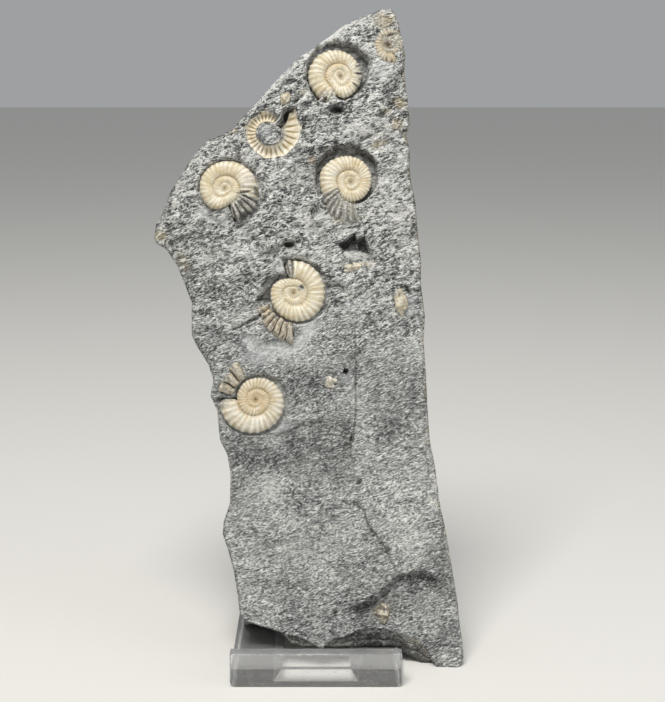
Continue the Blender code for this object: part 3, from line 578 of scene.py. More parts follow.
# Flakes of the rough face: height, their size along, into and across the grain, treads, seed
FACE_FLAKES = [(0.95, (6.5, 4.0, 3.2), 3.0, 13), (0.60, (2.8, 2.0, 1.4), 2.2, 14)]


def patches(u, v, wander, table_of_patches):
    """The strongest of a table's soft-edged patches at each place, its edges wandering."""
    total = np.zeros(u.shape)
    for centre, half, turn, amount in table_of_patches:
        share = amount * ease(1.6 - 1.3 * oval(u, v, centre, half, turn) + 0.5 * wander)
        total = np.where(np.abs(share) > np.abs(total), share, total)
    return total


def face_surface(u, v):
    """How far the face stands out at (u, v), and the looks that go with its features.

    Slow swells, the flaky grain and the steps are added; the hollows, cavities, dents and cracks
    are taken off, the deepest at each place. A look is a value from about 0 to 1, and tone is
    lighter above 0 and darker below it.
    """
    flat = np.stack([u, np.zeros(u.shape), v], -1)
    tilted = grain_frame(flat, GRAIN_TILT)
    wander = noise(flat, (2.2, 2.2, 2.2), 11)
    smooth_patch = patches(u, v, wander, SMOOTH_PATCHES)
    upper = ease((v - ROUGH_ABOVE) / 34.0)
    rough = (0.3 + 0.7 * upper) * (1.0 - 0.75 * smooth_patch)
    rise = 0.5 * np.sin(u / 9.0 + 1.3) * np.sin(v / 13.0 + 0.4)
    rise += 0.35 * upper * noise(tilted, (13.0, 9.0, 7.0), 12)
    for height, size, treads, seed in FACE_FLAKES:
        rise += height * rough * flakes(noise(tilted, size, seed), treads)
    rise += 0.42 * (0.45 + 0.55 * rough) * noise(tilted, (1.6, 1.0, 0.85), 15)
    on_joint = ease((JOINT_BELOW - v) / 8.0)
    rise += 0.22 * on_joint * noise(grain_frame(flat, JOINT_GRAIN_TILT), (7.0, 2.0, 3.0), 16)
    rise += 0.5 * on_joint * noise(flat, (16.0, 9.0, 12.0), 19)

    shadow = np.zeros(u.shape)
    for points, drop, reach in STEPS:
        aside, share = beside_line(u, v, points)
        ends = ease(share / 0.12) * ease((1.0 - share) / 0.12)
        aside = aside + 0.7 * noise(flat, (5.0, 5.0, 5.0), 18) + 0.3 * wander
        below = np.maximum(aside, 0.0)
        rise -= drop * ends * ease(aside / 0.6) * np.exp(-below / reach)
        shadow += 0.75 * drop * ends * ease(aside / 0.5) * np.exp(-below / 2.6)

    ribs = IMPRESSION
    c, s = math.cos(math.radians(ribs["turn"])), math.sin(math.radians(ribs["turn"]))
    down = (v - ribs["centre"][1]) * c - (u - ribs["centre"][0]) * s * 0.4
    inside = ease(1.5 - oval(u, v, ribs["centre"], ribs["half"], ribs["turn"]))
    rise += ribs["height"] * inside * np.sin(2.0 * math.pi * down / ribs["spacing"])

    taken = np.zeros(u.shape)
    dark = np.zeros(u.shape)
    for shell in SHELLS.values():
        worked, wall = shell_hollow(shell, u, v, wander)
        taken = np.maximum(taken, worked)
        # Painted shade on each moat's far wall above its shell
        dark = np.maximum(dark, 0.75 * wall)
    hollow = taken.copy()
    taken = np.maximum(taken, mould_hollow(u, v))
    for corners, deep in CAVITIES:
        share = ease((inside_corners(u, v, corners) + 0.15) / 0.6)
        taken = np.maximum(taken, deep * share)
        dark = np.maximum(dark, share)
    for centre, half, turn, deep, murk in DENTS:
        share = ease(1.5 - 1.25 * oval(u, v, centre, half, turn) + 0.35 * wander)
        taken = np.maximum(taken, deep * share)
        dark = np.maximum(dark, murk * share ** 1.5)
    for points, half, deep, murk in CRACKS:
        aside, _ = beside_line(u, v, points)
        share = ease(1.3 - np.abs(aside + 0.15 * wander) / half)
        taken = np.maximum(taken, deep * share)
        dark = np.maximum(dark, murk * share)
    band = np.zeros(u.shape)
    for points, half, deep in SCRAPED_BANDS:
        aside, share = beside_line(u, v, points)
        ends = ease(share / 0.15) * ease((1.0 - share) / 0.15)
        share = ends * ease(1.6 - np.abs(aside + 0.4 * wander) / half)
        taken = np.maximum(taken, deep * share)
        band = np.maximum(band, share)
    smooth_patch = np.maximum(smooth_patch, band)
    # Painted shade: the dark look also darkens the floors of the deepest hollows round the shells
    looks = dict(
        dark=np.clip(dark + 0.35 * ease((hollow - 1.5) / 0.7), 0.0, 1.0),
        coarse=upper,
        smooth=np.maximum(smooth_patch, 0.65 * ease((hollow - 0.5) / 0.8)),
        crust=patches(u, v, wander, CRUST_PATCHES),
        tone=patches(u, v, wander, TONE_PATCHES) + 1.1 * band - shadow,
    )
    return rise - taken, looks


def edge_fall(s, t, wander):
    """How far the face falls away at its broken edges, more along the smooth top edge.

    Each fall is a power of the eased nearness to its edge, and the deeper one counts.
    """
    width = np.linalg.norm(along(RIGHT_EDGE, t) - along(LEFT_EDGE, t), axis=-1)
    height = np.linalg.norm(along(TOP_EDGE, s) - along(BOTTOM_EDGE, s), axis=-1)
    sides = np.minimum(s, 1.0 - s) * width
    top = (1.0 - t) * height
    fall = 0.9 * (1.0 - ease(sides * (1.0 + 0.6 * wander) / 1.5)) ** 1.5
    return np.maximum(fall, 1.5 * (1.0 - ease(top / 1.9)) ** 1.2)


def inward_normals(loop):
    """Unit normals that point into a closed anticlockwise loop of (u, v) places, a little eased."""
    ahead = np.roll(loop, -4, axis=0) - np.roll(loop, 4, axis=0)
    ahead /= np.linalg.norm(ahead, axis=1)[:, None]
    return np.stack([-ahead[:, 1], ahead[:, 0]], -1)


def perimeter(grid):
    """The values of a grid (rows up, columns across) along its edge, anticlockwise."""
    return np.concatenate([grid[0, :-1], grid[:-1, -1], grid[-1, :0:-1], grid[:0:-1, 0]])


def make_piece(name, points, faces, looks=None):
    """A smooth-shaded object from world places, faces and attributes with a value per vertex."""
    mesh = bpy.data.meshes.new(name)
    mesh.from_pydata(points.tolist(), [], [face for block in faces for face in block.tolist()])
    mesh.polygons.foreach_set("use_smooth", np.ones(len(mesh.polygons), bool))
    for look, values in (looks or {}).items():
        attribute = mesh.attributes.new(look, "FLOAT", "POINT")
        attribute.data.foreach_set("value", values.astype(np.float32))
    piece = bpy.data.objects.new(name, mesh)
    bpy.context.scene.collection.objects.link(piece)
    return piece


def quads(first, second):
    """Faces between two closed loops of vertex numbers, the second behind the first."""
    return np.stack([first, second, np.roll(second, -1), np.roll(first, -1)], -1)


# The face, on a grid of s across and t up
s, t = np.meshgrid(np.linspace(0.0, 1.0, ACROSS + 1), np.linspace(0.0, 1.0, UP + 1))
flat_face = face_place(s, t)
rise, looks = face_surface(flat_face[..., 0], flat_face[..., 1])
wander = noise(np.stack([flat_face[..., 0], 0 * s, flat_face[..., 1]], -1), (1.6, 1.6, 1.6), 17)
rise = rise - edge_fall(s, t, wander)
front = block_place(s, t, 0.0, rise)

# The sides, in rings that follow the outline into the stone and break along its beds. They move
# in by an inset, by terraced beds and small chips, and more towards the rounded back edge.
EDGE_INSET = 0.6
CHIP_HEIGHT = 0.35
SLOW_WAVE = 0.5
BACK_INSET = 2.2
BACK_ROUNDING = 1.3
loop_s, loop_t = perimeter(s), perimeter(t)
edge_rise = perimeter(rise)
normals = inward_normals(perimeter(flat_face))
on_bottom = ease((0.05 - loop_t) / 0.05)
rings = []
for depth in RING_DEPTHS:
    share = depth / FULL_DEPTH
    ring = block_place(loop_s, loop_t, np.full(loop_s.shape, share), edge_rise)
    bedding = flakes(noise(ring, (14.0, 2.2, 14.0), 21), 2.0)
    bedding += 0.6 * noise(ring, (4.0, 1.3, 4.0), 22)
    chips = noise(ring, (1.6, 1.2, 1.6), 23)
    inset = EDGE_INSET + bedding + CHIP_HEIGHT * chips
    inset += SLOW_WAVE * np.sin(15.6 * share + ring[:, 2] / 17.0)
    inset += BACK_INSET * share ** 2 + BACK_ROUNDING * ease((share - 0.92) / 0.08) ** 2
    inset = np.maximum(inset, -0.2) * min(1.0, depth / 1.5) ** 0.6
    under = np.maximum(0.12 + 0.12 * bedding, 0.0)
    ring[:, [0, 2]] += (inset * (1.0 - on_bottom) + under * on_bottom)[:, None] * normals
    rings.append(ring)

# The back, on every second line of the face's grid, meets the last ring and fades inward. It
# falls away in broad flakes, small ones and a fine unevenness.
BACK_FALLS = (0.8, 0.45, 0.2)
back_s, back_t = s[::2, ::2], t[::2, ::2]
back = block_place(back_s, back_t, 1.0, 0.0)
edge_move = rings[-1][::2] - perimeter(back)
low_move, rest = np.split(edge_move, [ACROSS // 2])
right_move, rest = np.split(rest, [UP // 2])
top_move, left_move = np.split(rest, [ACROSS // 2])
low_move = np.concatenate([low_move, right_move[:1]])[None, :]
right_move = np.concatenate([right_move, top_move[:1]])[:, None]
top_move = np.concatenate([top_move, left_move[:1]])[None, ::-1]
left_move = np.concatenate([left_move, edge_move[:1]])[::-1][:, None]
low_fade, top_fade = (1.0 - back_t[..., None]) ** 24, back_t[..., None] ** 24
left_fade, right_fade = (1.0 - back_s[..., None]) ** 8, back_s[..., None] ** 8
back += low_fade * low_move + top_fade * top_move
back += left_fade * left_move + right_fade * right_move
back -= low_fade * (left_fade * left_move[0] + right_fade * right_move[0])
back -= top_fade * (left_fade * left_move[-1] + right_fade * right_move[-1])
broad = flakes(noise(grain_frame(back, 30.0), (22.0, 12.0, 15.0), 31), 2.0)
small = flakes(noise(grain_frame(back, -20.0), (8.0, 6.0, 5.0), 32), 2.5)
fine = noise(back, (2.6, 2.6, 2.0), 33)
back_fall = sum(fall * (part + 1.0) for fall, part in zip(BACK_FALLS, (broad, small, fine)))
from_side = np.minimum(np.minimum(back_s, 1.0 - back_s), 2.0 * np.minimum(back_t, 1.0 - back_t))
back[..., 1] -= back_fall * ease(from_side / 0.08)

# All of it as one closed skin
count = front[..., 0].size
ids = np.arange(count).reshape(UP + 1, ACROSS + 1)
around_ids = np.arange(len(loop_s))
loops = [perimeter(ids)] + [count + k * len(loop_s) + around_ids for k in range(len(rings))]
back_ids = np.arange(back[..., 0].size).reshape(UP // 2 + 1, -1)
back_ids = back_ids + count + len(rings) * len(loop_s)
last, behind = loops[-1], perimeter(back_ids)
faces = [np.stack([ids[:-1, :-1], ids[:-1, 1:], ids[1:, 1:], ids[1:, :-1]], -1).reshape(-1, 4)]
faces += [quads(first, second) for first, second in zip(loops, loops[1:])]
faces.append(np.stack([last[::2], behind, last[1::2]], -1))
faces.append(np.stack([behind, np.roll(behind, -1), last[1::2]], -1))
faces.append(np.stack([np.roll(behind, -1), np.roll(last[::2], -1), last[1::2]], -1))
rear = [back_ids[:-1, :-1], back_ids[1:, :-1], back_ids[1:, 1:], back_ids[:-1, 1:]]
faces.append(np.stack(rear, -1).reshape(-1, 4))
points = np.concatenate([front.reshape(-1, 3)] + rings + [back.reshape(-1, 3)])
points = to_world(*points.T)
points = np.clip(points, cad_low, cad_high)
side_count = len(points) - count
side_place = np.concatenate(rings + [back.reshape(-1, 3)])
right_rim = ease((side_place[:, 0] - 18.0) / 6.0) * ease((3.0 - side_place[:, 1]) / 3.0)
# Painted shadow: the sides' dark look is set on the underside at each parting depth
parting_shadow = 0.0 * points[count:, 0]
for k, depth in enumerate(RING_DEPTHS):
    if depth in SHADED_PARTINGS:
        parting_shadow[k * len(loop_s):(k + 1) * len(loop_s)] = on_bottom
in_rings = side_count - broad.size
back_smooth = 0.1 + (0.35 + 0.25 * broad) * ease(from_side / 0.08)
back_tone = 0.1 - 0.6 * broad - 0.4 * small
side_looks = dict(
    dark=parting_shadow,
    smooth=np.concatenate([np.full(in_rings, 0.1), back_smooth.ravel()]),
    coarse=0.1,
    crust=0.55 * right_rim,
    tone=np.concatenate([np.full(in_rings, 0.1), back_tone.ravel()]),
)

# Crust along the right rim, and a smooth strip along the top edge, painted pale where it faces up
# to the light
width = np.linalg.norm(along(RIGHT_EDGE, t) - along(LEFT_EDGE, t), axis=-1)
height = np.linalg.norm(along(TOP_EDGE, s) - along(BOTTOM_EDGE, s), axis=-1)
rim_crust = ease((0.7 + 1.1 * wander - (1.0 - s) * width) / 0.8)
rim_crust = 0.7 * rim_crust * ease((flat_face[..., 1] - 18.0) / 6.0)
looks["crust"] = np.maximum(looks["crust"], rim_crust)
lit_bevel_strip = ease((1.9 + 0.4 * wander - (1.0 - t) * height) / 0.5)
lit_bevel_strip = lit_bevel_strip * ease((s - 0.42) / 0.1) * ease((0.9 - s) / 0.05)
looks["smooth"] = np.maximum(looks["smooth"], 0.5 * lit_bevel_strip)
# Painted light: the strip faces up to the light, so its tone is raised
looks["tone"] = looks["tone"] + 1.9 * lit_bevel_strip
looks = {
    name: np.concatenate([values.ravel(), side_looks[name] + np.zeros(side_count)])
    for name, values in looks.items()
}
slab = make_piece("marl_slab_stone", points, faces, looks)


# Grey marl: dull, with pale and dark splinters of its own beds. The eye sees short fibres that rise
# to the right, with a dark side and a light side to each, and no shine anywhere; that light and
# dark is partly the stone's own tone and partly painted light and shade of facets too small to
# build. Its real grain is too fine to show, so the finest specks are drawn 0.3 to 0.8 mm long.
marl, tree, shader = new_material("split_blue_grey_marl")


def add(tree, kind, inputs=None, out=0, stops=(), **settings):
    """Add a node with its settings, inputs and ramp stops, and give one of its outputs.

    An input is a socket to link, a colour's hex code or a plain value. A stop is a place on the
    ramp and a colour's hex code.
    """
    node = tree.nodes.new(kind)
    for name, value in settings.items():
        setattr(node, name, value)
    for key, value in (inputs or {}).items():
        if isinstance(value, bpy.types.NodeSocket):
            tree.links.new(value, node.inputs[key])
        else:
            node.inputs[key].default_value = linear(value) if isinstance(value, str) else value
    if stops:
        for _ in stops[2:]:
            node.color_ramp.elements.new(0.5)
        for element, (place, code) in zip(node.color_ramp.elements, stops):
            element.position = place
            element.color = linear(code)
    return node.outputs[out]


def grain(tree, place, size, detail, seed, out="Fac"):
    """Noise over a place in metres whose features are size millimetres along each axis."""
    scale = [1.0 / (x * MM) for x in size]
    shift = (seed * 3.7, seed * 1.9, seed * 5.3)
    scaled = add(tree, "ShaderNodeMapping", {"Vector": place, "Scale": scale, "Location": shift})
    return add(tree, "ShaderNodeTexNoise", {"Vector": scaled, "Scale": 1.0, "Detail": detail}, out)


def weighted(tree, start, *parts):
    """A start plus each part's value times its weight, where each is a number or a socket."""
    total = start
    for value, weight in parts:
        terms = {0: value, 1: weight, 2: total}
        total = add(tree, "ShaderNodeMath", terms, operation="MULTIPLY_ADD")
    return total


def layered(tree, colour, layers):
    """A colour with others laid over it in turn, each as (value, start, strength, colour).

    A layer covers what is under it by the value less the start, times the strength, from 0 to 1.
    """
    for value, start, strength, over in layers:
        terms = {0: value, 1: strength, 2: -start * strength}
        cover = add(tree, "ShaderNodeMath", terms, operation="MULTIPLY_ADD", use_clamp=True)
        colour = add(tree, "ShaderNodeMix", {0: cover, 6: colour, 7: over}, 2, data_type="RGBA")
    return colour


# Fibres lie along a turned frame that noise bends by up to half the bend
FIBRE_TURN = (math.radians(12), math.radians(21), 0)
FIBRE_BEND = 2.4
place = add(tree, "ShaderNodeTexCoord", out="Object")
turned = add(tree, "ShaderNodeMapping", {"Vector": place, "Rotation": FIBRE_TURN})
bend = grain(tree, place, (6.0, 6.0, 6.0), 2.0, 8, "Color")
bend = add(tree, "ShaderNodeVectorMath", {0: bend, 1: (0.5, 0.5, 0.5)}, operation="SUBTRACT")
bend = add(tree, "ShaderNodeVectorMath", {0: bend, "Scale": FIBRE_BEND * MM}, operation="SCALE")
turned = add(tree, "ShaderNodeVectorMath", {0: turned, 1: bend}, operation="ADD")
fibre = grain(tree, turned, (2.0, 1.3, 0.95), 4.0, 1)
chip = grain(tree, turned, (1.5, 0.8, 0.48), 3.0, 2)
speck = grain(tree, turned, (0.8, 0.5, 0.3), 2.0, 9)
cloud = grain(tree, place, (11.0, 9.0, 7.0), 4.0, 3)
drift = grain(tree, turned, (4.6, 3.6, 3.0), 2.0, 12)
# Splinters 1.4 mm by 1.1 mm by 0.7 mm, as cells per metre
SPLINTERS = (700.0, 900.0, 1500.0)
splinter_place = add(tree, "ShaderNodeMapping", {"Vector": turned, "Scale": SPLINTERS})
splinter = add(tree, "ShaderNodeTexVoronoi", {"Vector": splinter_place, "Scale": 1.0}, "Color")
splinter = add(tree, "ShaderNodeSeparateColor", {"Color": splinter})
leaned = add(tree, "ShaderNodeMapping", {"Vector": place, "Rotation": (LEAN, 0.0, 0.0)})
beds = grain(tree, leaned, (26.0, 0.9, 26.0), 3.0, 11)
coarse, smooth, crusted, dark, tone = [
    add(tree, "ShaderNodeAttribute", out="Fac", attribute_name=look)
    for look in ("coarse", "smooth", "crust", "dark", "tone")
]

# Each noise is weighed about its middle, 0.5, and the coarse upper part has more contrast, partly
# painted light and shade of its rougher facets
WEIGHTS = ((chip, 0.9), (speck, 1.25), (cloud, 0.36), (splinter, 0.15), (beds, 0.5))
middle = -0.5 * sum(weight for _, weight in WEIGHTS)
fibre_share = weighted(tree, 0.3, (coarse, 0.65))
patchy = weighted(tree, 0.0, (drift, coarse), (coarse, -0.5))
shade = weighted(tree, middle, (fibre, fibre_share), (fibre_share, -0.5), *WEIGHTS, (patchy, 0.55))
contrast = weighted(tree, 1.15, (coarse, 0.6))
shade = weighted(tree, 0.51, (shade, contrast), (tone, 0.12), (coarse, 0.085))
stone = add(tree, "ShaderNodeValToRGB", {"Fac": shade}, stops=(
    (0.15, "#444443"), (0.38, "#828382"), (0.55, "#a7a9a7"), (0.85, "#f0f0eb")))
crust = add(tree, "ShaderNodeValToRGB", {"Fac": chip}, stops=(
    (0.35, "#8b8068"), (0.5, "#bcaf92"), (0.65, "#e6dfcd")))
stone = layered(tree, stone, [
    (cloud, 0.42, 0.9, "#a0a09c"),
    (smooth, 0.0, 0.6, "#a2a4a4"),
    (crusted, 0.0, 0.85, crust),
    (dark, 0.0, 0.85, "#403e3b"),
])
tree.links.new(stone, shader.inputs["Base Color"])
shader.inputs["Roughness"].default_value = 0.92
shader.inputs["Specular IOR Level"].default_value = 0.25
height = weighted(tree, 0.0, (fibre, fibre_share), (chip, 0.42), (speck, 0.44))
calm = weighted(tree, 1.0, (smooth, -0.7))
bump = add(tree, "ShaderNodeBump", {"Height": height, "Strength": calm, "Distance": 2.0 * MM})
tree.links.new(bump, shader.inputs["Normal"])
slab.data.materials.append(marl)
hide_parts("marl_slab")
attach(slab, "root")


# The five good ammonites are cream calcite, coiled tubes crossed by blunt ribs and smoothed by
# the tool that uncovered them. Each has grown in the stone and lies a little proud of its face.
WHORL_OVERLAP = 0.92
RING_POINTS = 34
STEPS_PER_RIB = 9
# Powers that narrow a rib and square off the whorl's cross section, sideways and upward
RIB_POWER = 1.3
SIDE_POWER = 0.85
TOP_POWER = 0.9
# Degrees over which the lip turns in at the mouth, and the tube narrows at its inner end
LIP_DEGREES = 13.0
END_DEGREES = 14.0
# How much lower an inner whorl lies, as a share of how much less tall it is than the outer one
SETTLE = 0.42
# Heights of rough breaks, of slow and fine wear, and of the ragged rim
BREAK_HEIGHT = 0.4
WEAR_HEIGHT = 0.11
FINE_WEAR_HEIGHT = 0.07
RAGGED_RIM = 0.16


def closed_tube(name, rings, looks=None):
    """A tube from rows of closed cross sections (rows, around, 3) with a point at each end.

    Faces are turned outward by the sign of the volume they enclose.
    """
    rows, count = rings.shape[:2]
    ids = np.arange(rows * count).reshape(rows, count)
    ahead = np.roll(ids, -1, axis=1)
    faces = np.stack([ids[:-1], ahead[:-1], ahead[1:], ids[1:]], -1).reshape(-1, 4)
    tips = rows * count + np.arange(2)
    first = np.stack([ahead[0], ids[0], np.full(count, tips[0])], -1)
    last = np.stack([ids[-1], ahead[-1], np.full(count, tips[1])], -1)
    points = np.concatenate([rings.reshape(-1, 3), rings[[0, -1]].mean(1)])
    points = to_world(*points.T)
    volume = 0.0
    for corners in (first, faces[:, :3], faces[:, [0, 2, 3]], last):
        a, b, c = (points[corners[:, i]] for i in range(3))
        volume += (a * np.cross(b, c)).sum()
    blocks = [faces, first, last]
    if volume < 0.0:
        blocks = [block[:, ::-1] for block in blocks]
    looks = {
        key: np.concatenate([values.ravel(), values[[0, -1]].mean(1)])
        for key, values in (looks or {}).items()
    }
    return make_piece(name, points, blocks, looks)


def coiled_shell(shell, coat, depth):
    """Rings and looks of a ribbed whorl tube wound on a shell's measured spiral.

    The tube's width runs from the rim one turn further in, less the overlap, to the rim itself.
    Over the last turn its inner side moves on past the centre, so that the end covers the middle.
    Ribs rise as a power of a raised cosine, most at the outer side. Broken stretches are roughened
    by terraced noise. The mouth turns in over its lip to a hollow.
    """
    # Degrees back from the mouth down the rows, and the angle round the tube across them
    rows = int(coat["turns"] * coat["ribs"] * STEPS_PER_RIB)
    back = np.linspace(-coat["before"], coat["turns"] * 360.0, rows)[:, None]
    angle = np.linspace(0.0, 2.0 * math.pi, RING_POINTS, endpoint=False)[None, :]
    along_axis = np.zeros((rows, 3))

    # The tube's two sides, its height, and its closing over the centre
    rim = rim_radius(back, shell["rim"], shell["growth"])
    rim = rim * (1.0 - coat["pinch"] * ease(-back / 32.0))
    inner = WHORL_OVERLAP * rim_radius(back + 360.0, shell["rim"], shell["growth"])
    tall = 0.5 * coat["thick"] * (rim - inner)
    closing = ease((back - back[-1] + 400.0) / 330.0)
    inner = inner - closing * (inner + rim)
    half = 0.5 * (rim - inner)
    middle = 0.5 * (rim + inner)

    # Ribs: uneven, swept forward at the outer side, and lower on top where the tool polished them
    outer_side = 0.5 + 0.5 * np.cos(angle)
    lag = coat["sweep"] * outer_side ** 2
    along_axis[:, 0] = back[:, 0] / 26.0
    drift = 0.22 * noise(along_axis, (1, 1, 1), 45)[:, None]
    rib = 0.5 + 0.5 * np.cos(2.0 * math.pi * (back * coat["ribs"] / 360.0 + lag + drift))
    rib = rib ** RIB_POWER
    along_axis[:, 0] = back[:, 0] / 9.0
    uneven = np.clip(1.0 + 0.8 * noise(along_axis, (1, 1, 1), 46)[:, None], 0.2, 1.8)
    broken = 0.0 * back
    for start, end, amount in coat["worn"]:
        stretch = ease((back - start) / 6.0) * ease((end - back) / 6.0)
        broken = np.maximum(broken, amount * stretch)
    top = np.maximum(np.sin(angle), 0.0)
    polished = 1.0 - coat["polish"] * top ** 2 * (1.0 - broken)
    lift = coat["height"] * half * rib * (0.25 + 0.75 * outer_side) * uneven * polished
    lift = lift * (1.0 + 1.2 * broken)

    # The cross section, a rounded oblong whose inner side is filled level in the older whorls
    width = half * (1.0 - 0.04 * rib)
    across = width * np.sign(np.cos(angle)) * np.abs(np.cos(angle)) ** SIDE_POWER
    across = across + lift * np.cos(angle)
    upward = tall * np.sign(np.sin(angle)) * np.abs(np.sin(angle)) ** TOP_POWER
    filled = np.where(np.cos(angle) < 0.0, 1.0, ease((back - 300.0) / 60.0))
    level = filled * (0.38 + 0.36 * ease((back - 240.0) / 400.0)) * tall
    upward = np.where(np.sin(angle) > 0.05, np.maximum(upward, level), upward)
    upward = upward + lift * np.sin(angle)

    # Wound on the spiral, with rounded ends, the middle and any crushed mouth lying lower
    near_mouth = 1.0 - np.clip((back - back[0]) / LIP_DEGREES, 0.0, 1.0)
    ends = np.sqrt(1.0 - near_mouth ** 2) * ease((back[-1] - back) / END_DEGREES) ** 0.5
    settle = SETTLE * (tall.max() - tall)
    sunk = coat["sink"] * (0.8 * ease(-back / 40.0) + 1.3 * ease((-back - 50.0) / 36.0))
    direction = np.radians(shell["mouth"] - shell["turn"] * back)
    radius = middle + across * ends
    u = shell["centre"][0] + radius * np.cos(direction)
    v = shell["centre"][1] + radius * np.sin(direction)
    rings = np.stack([u, depth - settle + sunk - upward * ends, v], -1)

    # Breaks, wear and a ragged rim
    wander = noise(rings, (1.3, 1.3, 1.3), 41)
    stone = np.clip(patches(u, v, wander, coat["stone"]), 0.0, 1.0)
    stone = np.clip(np.maximum(stone, broken * (1.0 + 0.4 * wander)), 0.0, 1.0)
    dark = np.clip(patches(u, v, wander, coat["dark"]), 0.0, 1.0)
    gaps = coat["gaps"] * broken * (1.0 - rib) ** 3 * ease(outer_side / 0.5)
    dark = np.maximum(dark, gaps)
    rough = BREAK_HEIGHT * stone * flakes(noise(rings, (1.0, 1.0, 1.0), 42), 2.5)
    worn = WEAR_HEIGHT * noise(rings, (1.5, 1.5, 1.5), 43)
    worn += FINE_WEAR_HEIGHT * noise(rings, (0.5, 0.5, 0.5), 44)
    ragged = RAGGED_RIM * wander * ease((outer_side - 0.7) / 0.3) * (0.6 + stone)
    rings[..., 0] += ragged * np.cos(direction)
    rings[..., 2] += ragged * np.sin(direction)
    rings[..., 1] -= (rough + worn) * top - (0.8 * dark + 0.3 * stone) * top * half / half.max()

    # Looks, from 0 to 1
    seam = np.exp(-((np.cos(angle) + 0.95) / 0.18) ** 2) * (np.sin(angle) > -0.2)
    streak_place = np.broadcast_arrays(back / 4.2, 1.4 * outer_side, 0.0 * back)
    from_centre = np.hypot(u - shell["centre"][0], v - shell["centre"][1])
    looks = dict(
        streak=0.5 + 0.5 * noise(np.stack(streak_place, -1), (1, 1, 1), 47),
        # Painted shade: the furrows between ribs are browner, most at the outer side where the ribs
        # stand highest
        furrow_shade=(1.0 - rib) * (0.3 + 0.7 * outer_side),
        seam=seam * ease(back / 20.0) * (0.2 + 0.5 * ease(1.3 - back / 420.0)),
        centre=ease((1.5 + 0.3 * wander - from_centre) / 1.4),
        ochre=np.clip(patches(u, v, wander, coat["ochre"]), 0.0, 1.0),
        # Painted highlight: the white look is raised on the rib crests at the outer side, besides
        # the white patches
        white=np.clip(patches(u, v, wander, coat["white"]) + 0.3 * outer_side * rib, 0.0, 1.0),
        stone=stone,
        dark=dark,
    )
    looks = {key: np.broadcast_to(value, u.shape).astype(float) for key, value in looks.items()}
    return rings, looks


